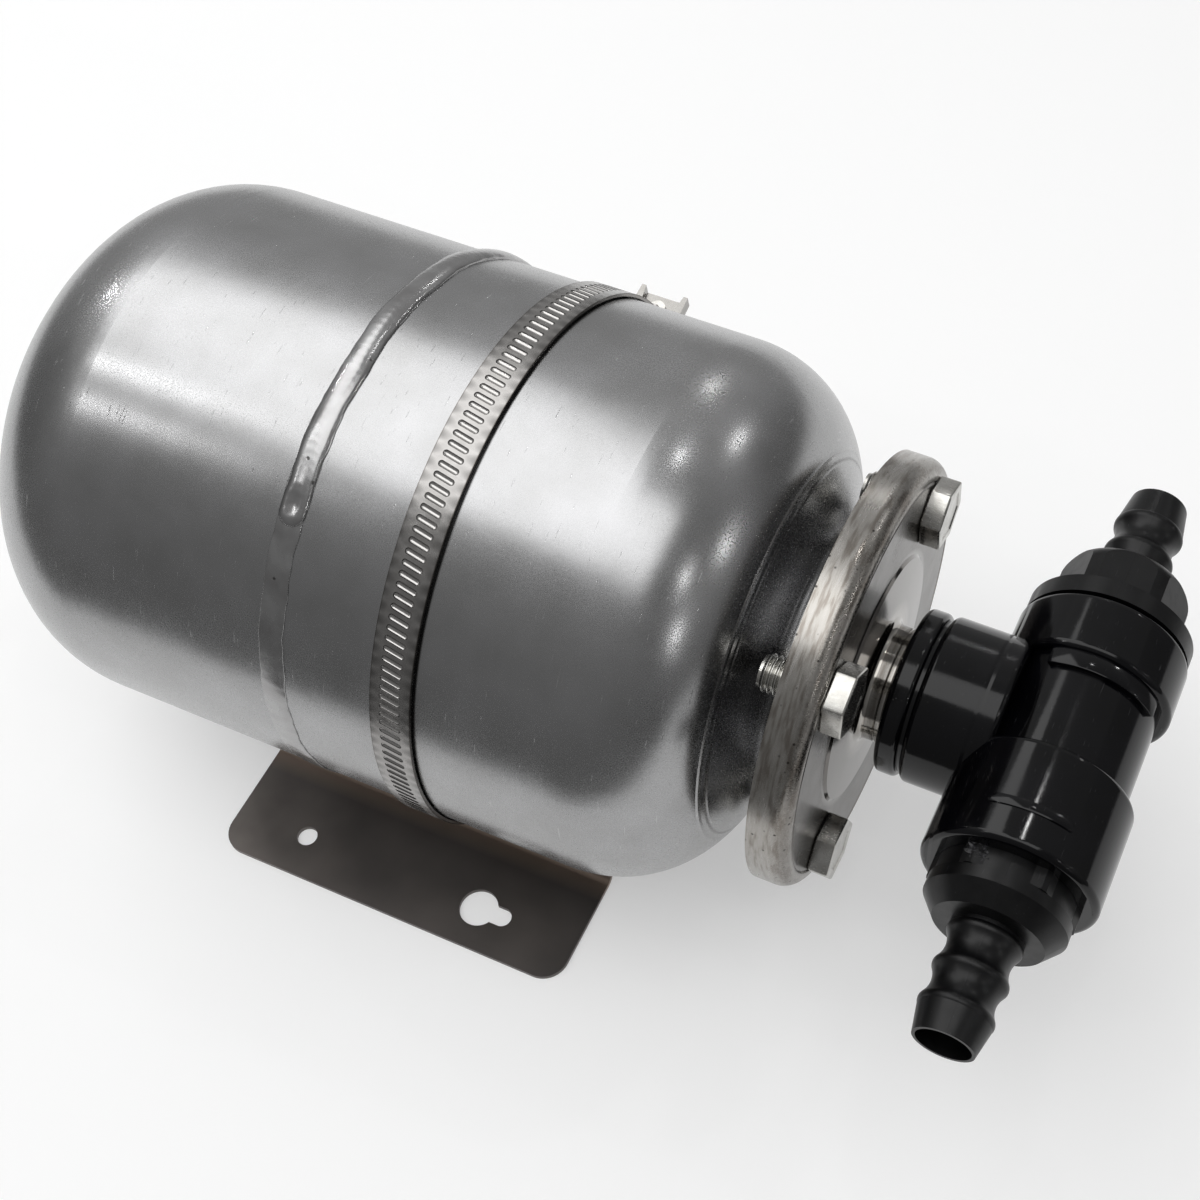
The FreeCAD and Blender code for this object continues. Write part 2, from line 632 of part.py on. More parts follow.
def mounting_bracket():
    """One folded sheet: two feet, two legs and a saddle under the tank."""
    foot_top = -FOOT_TOP_DROP
    foot_under = foot_top - SHEET
    saddle_edge = from_bottom(SADDLE_RADIUS, SADDLE_HALF_DEG)
    run = FOOT_BEND_Y - saddle_edge[0]
    fall = foot_top - saddle_edge[1]
    length = math.hypot(run, fall)
    along = (run / length, fall / length)
    under = (along[1], -along[0])
    under_radius = SADDLE_RADIUS + SHEET
    start = (saddle_edge[0] + SHEET * under[0], saddle_edge[1] + SHEET * under[1])
    forward = start[0] * along[0] + start[1] * along[1]
    short = under_radius ** 2 - start[0] ** 2 - start[1] ** 2
    reach = math.sqrt(forward ** 2 + short) - forward
    under_edge = (start[0] + reach * along[0], start[1] + reach * along[1])
    down = (foot_under - start[1]) / along[1]
    under_bend = (start[0] + down * along[0], foot_under)
    outline = outline_face((-FOOT_HALF_SPAN, foot_under), [
        (-under_bend[0], foot_under),
        (-under_edge[0], under_edge[1]),
        ((0, -under_radius), under_edge),
        under_bend,
        (FOOT_HALF_SPAN, foot_under),
        (FOOT_HALF_SPAN, foot_top),
        (FOOT_BEND_Y, foot_top),
        saddle_edge,
        ((0, -SADDLE_RADIUS), (-saddle_edge[0], saddle_edge[1])),
        (-FOOT_BEND_Y, foot_top),
        (-FOOT_HALF_SPAN, foot_top),
    ])
    bracket = extruded_along_x(outline, BRACKET_REAR_X, BRACKET_FRONT_X - BRACKET_REAR_X)
    inside = {FOOT_BEND_Y: foot_top, under_edge[0]: under_edge[1]}
    outside = {under_bend[0]: foot_under, saddle_edge[0]: saddle_edge[1]}
    bracket = round_long_edges(bracket, inside, BEND_INSIDE_RADIUS)
    bracket = round_long_edges(bracket, outside, BEND_INSIDE_RADIUS + SHEET)
    corners = [edge for edge in bracket.Edges if is_foot_corner(edge)]
    bracket = bracket.makeFillet(FOOT_CORNER_RADIUS, corners)
    for side in (-1, 1):
        bracket = cut_foot_holes(bracket, side * FIXING_HOLE_Y)
        bracket = cut_band_slot(bracket, side, saddle_edge, along)
    return bracket


def round_long_edges(shape, places, radius):
    """Round the edges that run along X at the given y and z, on both sides."""
    edges = []
    for edge in shape.Edges:
        first, last = edge.Vertexes[0].Point, edge.Vertexes[-1].Point
        runs_along_x = abs(first.y - last.y) < 1e-4 and abs(first.z - last.z) < 1e-4
        for y, z in places.items():
            if runs_along_x and abs(abs(first.y) - y) < 1e-3 and abs(first.z - z) < 1e-3:
                edges.append(edge)
    return shape.makeFillet(radius, edges)


def is_foot_corner(edge):
    first, last = edge.Vertexes[0].Point, edge.Vertexes[-1].Point
    upright = abs(first.x - last.x) < 1e-4 and abs(first.y - last.y) < 1e-4
    return upright and abs(abs(first.y) - FOOT_HALF_SPAN) < 1e-3


def cut_foot_holes(bracket, y):
    """A round hole, and a keyhole whose slot points to +X."""
    bottom = -FOOT_TOP_DROP - 2 * SHEET
    deep = 3 * SHEET
    slot_x = KEYHOLE_X + KEYHOLE_SLOT_REACH
    tools = [
        Part.makeCylinder(FIXING_HOLE_RADIUS, deep, Vector(FIXING_HOLE_X, y, bottom), Z_AXIS),
        Part.makeCylinder(KEYHOLE_RADIUS, deep, Vector(KEYHOLE_X, y, bottom), Z_AXIS),
        Part.makeCylinder(KEYHOLE_SLOT_RADIUS, deep, Vector(slot_x, y, bottom), Z_AXIS),
        Part.makeBox(KEYHOLE_SLOT_REACH, 2 * KEYHOLE_SLOT_RADIUS, deep,
                     Vector(KEYHOLE_X, y - KEYHOLE_SLOT_RADIUS, bottom)),
    ]
    for tool in tools:
        bracket = bracket.cut(tool)
    return bracket


def cut_band_slot(bracket, side, saddle_edge, along):
    """The slot at the top of a leg that the clamp band passes through."""
    width = BAND_WIDTH + 2 * BAND_SLOT_CLEARANCE
    thick = 8 * SHEET
    box = Part.makeBox(width, BAND_SLOT_TO - BAND_SLOT_FROM, thick,
                       Vector(BAND_X - width / 2, BAND_SLOT_FROM, -thick / 2))
    tilt = math.degrees(math.atan2(along[1], along[0]))
    box.rotate(ORIGIN, X_AXIS, tilt)
    box.translate(Vector(0, *saddle_edge))
    if side < 0:
        box = box.mirror(ORIGIN, Y_AXIS)
    return bracket.cut(box)


def band_loop(extra):
    """The band's closed line, in (y, z): round the tank, then straight to
    the underside of the saddle and along it."""
    tank = BAND_INNER_RADIUS + extra
    saddle = SADDLE_RADIUS + SHEET + BAND_SADDLE_CLEARANCE + extra
    lift = BAND_LIFT_DEG + math.degrees(math.acos(tank / saddle))
    return outline_face(from_bottom(tank, lift), [
        (from_bottom(tank, 180), from_bottom(tank, -lift)),
        from_bottom(saddle, -BAND_LIFT_DEG),
        (from_bottom(saddle, 0), from_bottom(saddle, BAND_LIFT_DEG)),
    ])


def thread_dent():
    """The tool for one dent of the band's pressed thread: a short rod with
    round ends, lying along X at the top of the band."""
    radius = BAND_THREAD_RADIUS
    half = (BAND_THREAD_LENGTH - BAND_THREAD_PITCH / 2) / 2
    dent = Part.makeCylinder(radius, 2 * half, Vector(-half, 0, 0), X_AXIS)
    for end in (-half, half):
        dent = dent.fuse(Part.makeSphere(radius, Vector(end, 0, 0)))
    dent.rotate(ORIGIN, Z_AXIS, BAND_THREAD_SLANT_DEG)
    dent.translate(Vector(BAND_X, 0, BAND_OUTER_RADIUS - BAND_THREAD_DEPTH + radius))
    return dent


def clamp_band():
    """A strip with a pressed thread, whose free tail lies over its own
    head end."""
    loop = band_loop(BAND_THICKNESS).cut(band_loop(0))
    band = extruded_along_x(loop, BAND_X - BAND_WIDTH / 2, BAND_WIDTH)
    tail = outline_face(polar(BAND_OUTER_RADIUS, BAND_TAIL_FROM_DEG), [
        polar(TAIL_OUTER_RADIUS, BAND_TAIL_FROM_DEG),
        (polar(TAIL_OUTER_RADIUS, (BAND_TAIL_FROM_DEG + BAND_TAIL_TO_DEG) / 2),
         polar(TAIL_OUTER_RADIUS, BAND_TAIL_TO_DEG)),
        polar(BAND_OUTER_RADIUS, BAND_TAIL_TO_DEG),
        (polar(BAND_OUTER_RADIUS, (BAND_TAIL_FROM_DEG + BAND_TAIL_TO_DEG) / 2),
         polar(BAND_OUTER_RADIUS, BAND_TAIL_FROM_DEG)),
    ])
    tail = extruded_along_x(tail, BAND_X - BAND_WIDTH / 2, BAND_WIDTH)
    band = band.fuse(tail).removeSplitter()
    lift = BAND_LIFT_DEG + math.degrees(
        math.acos(BAND_INNER_RADIUS / (SADDLE_RADIUS + SHEET + BAND_SADDLE_CLEARANCE)))
    first = lift - 90 + BAND_THREAD_MARGIN_DEG
    last = 270 - lift - BAND_THREAD_MARGIN_DEG
    pitch = math.degrees(BAND_THREAD_PITCH / BAND_OUTER_RADIUS)
    count = int((last - first) / pitch)
    tool = thread_dent()
    dents = []
    for number in range(count + 1):
        dent = tool.copy()
        dent.rotate(ORIGIN, X_AXIS, 90 - first - number * pitch)
        dents.append(dent)
    return band.cut(Part.makeCompound(dents))


def place_clamp(shape):
    """From the top of the tank, where the clamp's pieces are made, to
    the clamp's own angle round the tank."""
    shape.translate(Vector(BAND_X, 0, 0))
    shape.rotate(ORIGIN, X_AXIS, 90 - HOUSING_DEG)
    return shape


def clamp_housing():
    """A folded cover over the worm screw that grips the band's edges, with
    a wall at its near end and two ears beside the band."""
    half_length = HOUSING_LENGTH / 2
    half_width = HOUSING_WIDTH / 2
    bore = SCREW_RADIUS + SCREW_CLEARANCE
    top = SCREW_AXIS_RADIUS + bore + HOUSING_WALL
    low = BAND_INNER_RADIUS
    outline = outline_face((-half_width, low), [
        (half_width, low),
        (half_width, top - HOUSING_CORNER),
        (half_width - HOUSING_CORNER, top),
        (HOUSING_CORNER - half_width, top),
        (-half_width, top - HOUSING_CORNER),
    ])
    body = outline.extrude(Vector(0, 0, HOUSING_LENGTH))
    body.rotate(ORIGIN, X_AXIS, 90)
    body.translate(Vector(0, half_length, 0))
    ear_base = half_width + HOUSING_EAR_FLARE
    ear_tip = half_width + HOUSING_EAR_TOP_WIDTH / 2
    ear_top = top + HOUSING_EAR_HEIGHT
    for side in (-1, 1):
        ear = outline_face((side * ear_base, TAIL_OUTER_RADIUS), [
            (side * ear_tip, ear_top),
            (side * (ear_tip - HOUSING_EAR_TOP_WIDTH), ear_top),
            (side * (ear_base - HOUSING_EAR_BASE_WIDTH), TAIL_OUTER_RADIUS),
        ]).extrude(Vector(0, 0, HOUSING_EAR_LENGTH + HOUSING_EAR_OVERLAP))
        ear.rotate(ORIGIN, X_AXIS, 90)
        ear.translate(Vector(0, HOUSING_EAR_OVERLAP - half_length, 0))
        body = body.fuse(ear)
    channel_start = SCREW_END_WALL - half_length
    channel = Part.makeCylinder(bore, HOUSING_LENGTH,
                                Vector(0, channel_start, SCREW_AXIS_RADIUS), Y_AXIS)
    mouth = Part.makeBox(2 * bore, HOUSING_LENGTH, SCREW_AXIS_RADIUS - low,
                         Vector(-bore, channel_start, low))
    neck = Part.makeCylinder(SCREW_NECK_RADIUS + SCREW_CLEARANCE, HOUSING_LENGTH,
                             Vector(0, -half_length - 1, SCREW_AXIS_RADIUS), Y_AXIS)
    band_half = BAND_WIDTH / 2 + SCREW_CLEARANCE
    room = on_axis_cylinder(TAIL_OUTER_RADIUS + SCREW_CLEARANCE, -band_half, band_half)
    underneath = on_axis_cylinder(BAND_INNER_RADIUS, -half_width, half_width)
    for cutter in (channel, mouth, neck, room, underneath):
        body = body.cut(cutter)
    return place_clamp(body.removeSplitter())


def clamp_screw():
    """A worm screw with a slotted hexagon head at the far end. Its thread
    is left to the finish."""
    half_length = HOUSING_LENGTH / 2
    shoulder = SCREW_END_WALL + SCREW_CLEARANCE - half_length
    tip = -half_length - SCREW_TIP_PROUD
    collar = half_length + SCREW_COLLAR_LENGTH
    head_end = collar + SCREW_HEAD_HEIGHT
    body = turned((tip, 0), [
        (tip, SCREW_NECK_RADIUS),
        (shoulder, SCREW_NECK_RADIUS),
        (shoulder, SCREW_RADIUS),
        (collar, SCREW_RADIUS),
        (collar, 0),
    ])
    head = chamfered_hexagon(SCREW_HEAD_FLATS, collar, head_end)
    slot = Part.makeBox(SCREW_SLOT_DEPTH, 2 * SCREW_HEAD_FLATS, SCREW_SLOT_WIDTH,
                        Vector(head_end - SCREW_SLOT_DEPTH, -SCREW_HEAD_FLATS, -SCREW_SLOT_WIDTH / 2))
    screw = body.fuse(head).cut(slot).removeSplitter()
    screw.rotate(ORIGIN, Z_AXIS, 90)
    screw.translate(Vector(0, 0, SCREW_AXIS_RADIUS))
    return place_clamp(screw)


# Tee and hose tails

def to_run(shape, side):
    """From the X axis, with x counted from the tee's middle, to the run of
    the tee: side 1 is the upper end, +Y, and side -1 the lower end, -Y."""
    shape.rotate(ORIGIN, Z_AXIS, 90 * side)
    shape.translate(Vector(TEE_X, 0, 0))
    return shape


def rounded_drum(radius, x_from, x_to, edge):
    """A cylinder along X with both of its rims rounded."""
    diagonal = edge * (1 - math.sqrt(0.5))
    return turned((x_from, 0), [
        (x_from, radius - edge),
        ((x_from + diagonal, radius - diagonal), (x_from + edge, radius)),
        (x_to - edge, radius),
        ((x_to - diagonal, radius - diagonal), (x_to, radius - edge)),
        (x_to, 0),
    ])


def tee_body():
    lower = to_run(rounded_drum(TEE_HOUSING_RADIUS, TEE_LOWER_STEP, TEE_LOWER_END, TEE_EDGE_ROUND), -1)
    upper = to_run(rounded_drum(TEE_HOUSING_RADIUS, TEE_UPPER_STEP, TEE_UPPER_END, TEE_EDGE_ROUND), 1)
    middle = to_run(on_axis_cylinder(TEE_BODY_RADIUS, -TEE_LOWER_END / 2, TEE_UPPER_END / 2), 1)
    branch = rounded_drum(TEE_BRANCH_RADIUS, TEE_BRANCH_FACE_X, TEE_BRANCH_INNER_X, TEE_EDGE_ROUND)
    body = lower.fuse(upper).fuse(middle).fuse(branch)
    cutters = [
        to_run(on_axis_cylinder(TEE_BORE_RADIUS, -TEE_LOWER_END, TEE_UPPER_END), 1),
        to_run(on_axis_cylinder(TEE_SOCKET_RADIUS, TEE_LOWER_END - TEE_SOCKET_DEPTH, TEE_LOWER_END + 1), -1),
        to_run(on_axis_cylinder(TEE_SOCKET_RADIUS, TEE_UPPER_END - TEE_SOCKET_DEPTH, TEE_UPPER_END + 1), 1),
        on_axis_cylinder(TEE_BORE_RADIUS, TEE_BRANCH_FACE_X - 1, TEE_X),
        on_axis_cylinder(SPIGOT_NOSE_RADIUS + TEE_SPIGOT_CLEARANCE, TEE_BRANCH_FACE_X - 1,
                         SPIGOT_END_X + TEE_SPIGOT_CLEARANCE),
    ]
    for cutter in cutters:
        body = body.cut(cutter)
    return body.removeSplitter()


def branch_collar():
    """The ring that closes the branch socket round the spigot."""
    drum = rounded_drum(COLLAR_RADIUS, COLLAR_BACK_X, COLLAR_BACK_X + COLLAR_LENGTH, COLLAR_EDGE_ROUND)
    sleeve = on_axis_cylinder(COLLAR_SLEEVE_RADIUS, COLLAR_BACK_X + COLLAR_LENGTH - 1, TEE_BRANCH_FACE_X)
    bore = on_axis_cylinder(SPIGOT_NOSE_RADIUS + COLLAR_SPIGOT_CLEARANCE,
                            COLLAR_BACK_X - 1, TEE_BRANCH_FACE_X + 1)
    return drum.fuse(sleeve).cut(bore).removeSplitter()


def barb_steps(end, ridges, waists, length):
    """The outline of a hose barb up to its tip: rounded ridges with a
    hollow waist between each two. Places are counted from the tee's end."""
    steps = []
    low = TAIL_RIDGE_RADIUS - TAIL_RIDGE_ROUND
    for number, place in enumerate(ridges):
        ridge = end + place
        before = (ridge - TAIL_RIDGE_HALF_RUN, low)
        after = (ridge + TAIL_RIDGE_HALF_RUN, low)
        if number > 0:
            steps.append(((end + waists[number - 1], TAIL_WAIST_RADIUS), before))
        else:
            steps.append(before)
        steps.append(((ridge, TAIL_RIDGE_RADIUS), after))
    tip = end + length
    steps.append((tip, TAIL_TIP_RADIUS))
    steps.append((tip, TAIL_BORE_RADIUS))
    return steps


def plug_start(end):
    return end - TAIL_PLUG_LENGTH


def finish_tail(tail, end, side):
    """Cut the O-ring's groove in the plug and place the tail on the run."""
    return to_run(cut_ring_groove(tail, TAIL_PLUG_RADIUS, end - TAIL_PLUG_LENGTH / 2), side)


def tail_o_ring(end, side):
    return to_run(groove_ring(TAIL_PLUG_RADIUS, end - TAIL_PLUG_LENGTH / 2), side)


def lower_hose_tail():
    """A plug, a hexagon, a round collar with a coned foot and a barb with
    three ridges."""
    corner = LOWER_HEX_FLATS / math.sqrt(3)
    hex_end = TEE_LOWER_END + LOWER_HEX_HEIGHT
    collar_end = hex_end + LOWER_COLLAR_HEIGHT
    cone_end = collar_end + LOWER_CONE_HEIGHT
    plug_x = plug_start(TEE_LOWER_END)
    body = turned((plug_x, TAIL_BORE_RADIUS), [
        (plug_x, TAIL_PLUG_RADIUS),
        (hex_end, TAIL_PLUG_RADIUS),
        (hex_end, LOWER_COLLAR_RADIUS),
        (collar_end, LOWER_COLLAR_RADIUS),
        (cone_end, LOWER_CONE_TOP_RADIUS),
        (cone_end, LOWER_NECK_RADIUS),
    ] + barb_steps(TEE_LOWER_END, LOWER_RIDGES, LOWER_WAISTS, LOWER_LENGTH))
    wrench = hexagon(LOWER_HEX_FLATS, TEE_LOWER_END, hex_end)
    wrench = wrench.common(on_axis_cylinder(corner - TEE_EDGE_ROUND / 4, TEE_LOWER_END, hex_end))
    wrench = wrench.cut(on_axis_cylinder(TAIL_BORE_RADIUS, TEE_LOWER_END, hex_end))
    return finish_tail(body.fuse(wrench).removeSplitter(), TEE_LOWER_END, -1)


def upper_hose_tail():
    """A plug, a round flange, a stepped boss with six flats and a rounded
    shoulder, and a barb with two ridges."""
    flange_x = TEE_UPPER_END + UPPER_FLANGE_GAP
    step_x = flange_x + UPPER_FLANGE_THICKNESS
    boss_x = step_x + UPPER_STEP_RUN
    boss_top = TEE_UPPER_END + UPPER_BOSS_TOP
    shoulder_top = TEE_UPPER_END + UPPER_SHOULDER_TOP
    neck_end = TEE_UPPER_END + UPPER_NECK_END
    plug_x = plug_start(TEE_UPPER_END)
    shoulder_middle = point_between((boss_top, UPPER_SHOULDER_RADIUS),
                                    (UPPER_BOSS_RADIUS - UPPER_SHOULDER_RADIUS) * 0.85, (0, 1), (1, 0))
    step_v = UPPER_BOSS_RADIUS + UPPER_STEP_RUN
    step_middle = point_between((boss_x, step_v), UPPER_STEP_RUN, (-1, 0), (0, -1))
    body = turned((plug_x, TAIL_BORE_RADIUS), [
        (plug_x, TAIL_PLUG_RADIUS),
        (flange_x, TAIL_PLUG_RADIUS),
        (flange_x, UPPER_FLANGE_RADIUS),
        (step_x, UPPER_FLANGE_RADIUS),
        (step_x, step_v),
        (step_middle, (boss_x, UPPER_BOSS_RADIUS)),
        (boss_top, UPPER_BOSS_RADIUS),
        (shoulder_middle, (shoulder_top, UPPER_SHOULDER_RADIUS)),
        (neck_end, UPPER_NECK_RADIUS),
    ] + barb_steps(TEE_UPPER_END, UPPER_RIDGES, UPPER_WAISTS, UPPER_LENGTH))
    keep = hexagon(UPPER_BOSS_FLATS, boss_x, TEE_UPPER_END + UPPER_LENGTH)
    keep = keep.fuse(on_axis_cylinder(TEE_HOUSING_RADIUS, plug_x, boss_x))
    return finish_tail(body.common(keep), TEE_UPPER_END, 1)


# Air valve at the rear

def from_rear(shape):
    """From a piece made along +X at the origin to the rear apex, where it
    points to -X."""
    shape.rotate(ORIGIN, Z_AXIS, 180)
    shape.translate(Vector(rear_apex_x(), 0, 0))
    return shape


def core_outer_x():
    return VALVE_SHOULDER_LENGTH + VALVE_STEM_LENGTH - VALVE_CORE_DEPTH


def core_inner_x():
    return core_outer_x() - VALVE_CORE_LENGTH


def valve_stem():
    """The stem seats on the dome round its hole, and ends in a socket for
    the core."""
    end = VALVE_SHOULDER_LENGTH + VALVE_STEM_LENGTH
    seat = math.sqrt(REAR_CROWN_RADIUS ** 2 - VALVE_HOLE_RADIUS ** 2) - REAR_CROWN_RADIUS
    spigot = VALVE_HOLE_RADIUS - VALVE_FIT_CLEARANCE
    stem = turned((-VALVE_INSIDE_LENGTH, VALVE_BORE_RADIUS), [
        (-VALVE_INSIDE_LENGTH, spigot),
        (seat, spigot),
        (seat, VALVE_SHOULDER_RADIUS),
        (VALVE_SHOULDER_LENGTH - SHELL_WALL, VALVE_SHOULDER_RADIUS),
        (VALVE_SHOULDER_LENGTH, VALVE_SHOULDER_RADIUS - SHELL_WALL),
        (VALVE_SHOULDER_LENGTH, VALVE_STEM_RADIUS),
        (end, VALVE_STEM_RADIUS),
        (end, VALVE_CORE_RADIUS),
        (core_inner_x(), VALVE_CORE_RADIUS),
        (core_inner_x(), VALVE_BORE_RADIUS),
    ])
    return from_rear(stem)


def valve_core():
    """The core's barrel, screwed into the stem, with a chamber for the
    spring."""
    inner, outer = core_inner_x(), core_outer_x()
    hole = PIN_RADIUS + PIN_CLEARANCE
    barrel = VALVE_CORE_RADIUS - THREAD_CLEARANCE
    return from_rear(turned((inner, hole), [
        (inner, barrel),
        (outer, barrel),
        (outer, CORE_CHAMBER_RADIUS),
        (inner + CORE_END_WALL, CORE_CHAMBER_RADIUS),
        (inner + CORE_END_WALL, hole),
    ]))


def valve_pin():
    """The pin that a pump pushes in, with its head and its poppet disc."""
    inner, outer = core_inner_x(), core_outer_x()
    disc = inner - SEAL_LENGTH - POPPET_LENGTH
    head = outer - PIN_HEAD_LENGTH
    return from_rear(turned((disc, 0), [
        (disc, SEAL_RADIUS),
        (disc + POPPET_LENGTH, SEAL_RADIUS),
        (disc + POPPET_LENGTH, PIN_RADIUS),
        (head, PIN_RADIUS),
        (head, PIN_HEAD_RADIUS),
        (outer, PIN_HEAD_RADIUS),
        (outer, 0),
    ]))


def valve_seal():
    inner = core_inner_x()
    return from_rear(ring(PIN_RADIUS + SEAL_CLEARANCE, SEAL_RADIUS, inner - SEAL_LENGTH, inner))


def valve_spring():
    """A coil spring between the core's inner wall and the pin's head."""
    low = core_inner_x() + CORE_END_WALL + SPRING_WIRE_RADIUS
    high = core_outer_x() - PIN_HEAD_LENGTH - SPRING_WIRE_RADIUS
    helix = Part.makeHelix((high - low) / SPRING_TURNS, high - low, SPRING_RADIUS)
    start = Vector(SPRING_RADIUS, 0, 0)
    section = Part.Wire(Part.makeCircle(SPRING_WIRE_RADIUS, start, Y_AXIS))
    spring = Part.Wire(helix).makePipeShell([section], True, True)
    spring.rotate(ORIGIN, Y_AXIS, 90)
    spring.translate(Vector(low, 0, 0))
    return from_rear(spring)


def valve_cap():
    """A push-on rubber cap over the valve's stem."""
    back = VALVE_SHOULDER_LENGTH + CAP_GAP
    end = VALVE_SHOULDER_LENGTH + VALVE_STEM_LENGTH + CAP_CLEARANCE + CAP_END_WALL
    hollow = VALVE_STEM_RADIUS + CAP_CLEARANCE
    edge = CAP_END_WALL / 2
    return from_rear(turned((back, hollow), [
        (back, CAP_RADIUS),
        (end - edge, CAP_RADIUS),
        (end, CAP_RADIUS - edge),
        (end, 0),
        (end - CAP_END_WALL, 0),
        (end - CAP_END_WALL, hollow),
    ]))


def save(name, shape):
    """Move a piece to the bracket's own frame and write it."""
    moved = shape.copy()
    moved.translate(Vector(-FIXING_HOLE_X, 0, AXIS_HEIGHT))
    moved.exportStep("parts/" + name + ".step")
    print(name, "solids", len(moved.Solids), "volume", round(moved.Volume, 1), "valid", moved.isValid())


PIECES = {
    "rear_shell": rear_shell,
    "front_shell": front_shell,
    "girth_weld": girth_weld,
    "bladder": bladder,
    "cover_flange": cover_flange,
    "flange_bolts": flange_bolts,
    "flange_nuts": flange_nuts,
    "outlet_spigot": outlet_spigot,
    "spigot_o_ring": spigot_o_ring,
    "mounting_bracket": mounting_bracket,
    "clamp_band": clamp_band,
    "clamp_housing": clamp_housing,
    "clamp_screw": clamp_screw,
    "tee_body": tee_body,
    "branch_collar": branch_collar,
    "lower_hose_tail": lower_hose_tail,
    "upper_hose_tail": upper_hose_tail,
    "valve_stem": valve_stem,
    "valve_core": valve_core,
    "valve_pin": valve_pin,
    "valve_seal": valve_seal,
    "valve_spring": valve_spring,
    "valve_cap": valve_cap,
}

os.makedirs("parts", exist_ok=True)
for piece_name, make_piece in PIECES.items():
    save(piece_name, make_piece())
save("lower_tail_o_ring", tail_o_ring(TEE_LOWER_END, -1))
save("upper_tail_o_ring", tail_o_ring(TEE_UPPER_END, 1))
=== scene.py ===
# %% [markdown]
# # A bladder accumulator tank, dressed for its picture
#
# The solids of the tank were made to size beforehand. They come in here as a
# fixed frame in metres: +X runs along the tank to the hose tee, +Z is up, and
# the bracket's feet stand on z = 0. This lesson gives each piece the finish
# of the real one, and models the small shapes that a torch, a thread die or a
# mould leaves and that the plain solids do without.

import math

import bmesh
import bpy
from mathutils import Matrix, Quaternion, Vector


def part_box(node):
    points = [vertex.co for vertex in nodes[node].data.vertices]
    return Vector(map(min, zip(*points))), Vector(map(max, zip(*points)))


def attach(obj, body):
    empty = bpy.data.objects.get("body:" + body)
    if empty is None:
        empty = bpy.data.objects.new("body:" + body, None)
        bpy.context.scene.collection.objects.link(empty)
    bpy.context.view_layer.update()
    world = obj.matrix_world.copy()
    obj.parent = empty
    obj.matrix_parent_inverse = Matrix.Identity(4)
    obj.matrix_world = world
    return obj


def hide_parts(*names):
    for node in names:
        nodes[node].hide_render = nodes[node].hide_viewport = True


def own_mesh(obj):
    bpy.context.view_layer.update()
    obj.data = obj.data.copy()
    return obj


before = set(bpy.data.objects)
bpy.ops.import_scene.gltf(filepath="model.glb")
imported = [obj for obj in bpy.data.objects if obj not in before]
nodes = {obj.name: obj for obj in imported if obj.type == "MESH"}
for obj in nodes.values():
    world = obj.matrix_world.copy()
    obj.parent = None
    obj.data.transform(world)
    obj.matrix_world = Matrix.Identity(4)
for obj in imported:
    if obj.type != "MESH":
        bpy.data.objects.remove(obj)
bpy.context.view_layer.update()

# %% [markdown]
# ## Sizes that the dressing shares with the solids
#
# Everything round on this object sits on one of two lines: the tank's axis, and
# the tee's run across it. They are written once, in millimetres, so that each
# pattern and each new piece can find them.

# %% Shared sizes
MM = 0.001
AXIS_HEIGHT = 68.8
WELD_X = 15.6
TANK_RADIUS = 60.0
BAND_X = 43.3
BAND_WIDTH = 9.0
BAND_OUTER_RADIUS = 61.05
COVER_SEAT_X = 122.9
COVER_RADIUS = 47.6
TEE_X = 164.6


def at(x, y=0.0, z=0.0):
    """A point given in millimetres from the tank's axis."""
    return Vector((x * MM, y * MM, (z + AXIS_HEIGHT) * MM))


def round_the_tank(x, radius, degrees):
    """A point at an angle that starts at the near side and runs over the top."""
    turn = math.radians(degrees)
    return at(x, -radius * math.cos(turn), radius * math.sin(turn))


def round_the_run(y, radius, degrees):
    """A point round the tee's run, from the far end of the tank over the top."""
    turn = math.radians(degrees)
    return at(TEE_X + radius * math.cos(turn), y, radius * math.sin(turn))


# %% [markdown]
# ## Colour and node helpers
#
# Paint charts and photographs give colours as sRGB, but Blender mixes light
# in linear values, so one function turns a hex code into a linear colour. A
# second one adds a node with its settings and links in one call, which keeps
# each material below short enough to read as a recipe.

# %% Colours and nodes
def colour(code):
    """A linear colour from an sRGB hex code."""
    channels = [int(code[i:i + 2], 16) / 255 for i in (0, 2, 4)]
    linear = [c / 12.92 if c <= 0.04045 else ((c + 0.055) / 1.055) ** 2.4 for c in channels]
    return (*linear, 1.0)


def add(tree, kind, settings, sockets):
    """Add a node: settings are its properties, sockets its values or links."""
    made = tree.nodes.new("ShaderNode" + kind)
    for name, value in settings.items():
        setattr(made, name, value)
    for name, value in sockets.items():
        if isinstance(value, bpy.types.NodeSocket):
            tree.links.new(value, made.inputs[name])
        else:
            made.inputs[name].default_value = value
    return made


def new_finish(name):
    """A new material with only its shader and output: (material, tree, shader)."""
    material = bpy.data.materials.new(name)
    material.use_nodes = True
    tree = material.node_tree
    tree.nodes.clear()
    shader = tree.nodes.new("ShaderNodeBsdfPrincipled")
    output = tree.nodes.new("ShaderNodeOutputMaterial")
    tree.links.new(shader.outputs["BSDF"], output.inputs["Surface"])
    return material, tree, shader


# %% [markdown]
# A surface is read in steps: a noise of a real grain size, a ramp that turns
# the noise into colours, and a bump of a real depth. The patterns that go
# round the tank, such as the painted shadow in the gap beside the clamp band,
# are easier to place by their distance along a line or from it, so two more
# functions measure those.

# %% Patterns in real sizes
def along(tree, axis):
    """The position along one axis in mm, as a value."""
    place = add(tree, "TexCoord", {}, {})
    parts = add(tree, "SeparateXYZ", {}, {"Vector": place.outputs["Object"]})
    return sum_up(tree, "MULTIPLY", parts.outputs[axis], 1.0 / MM)


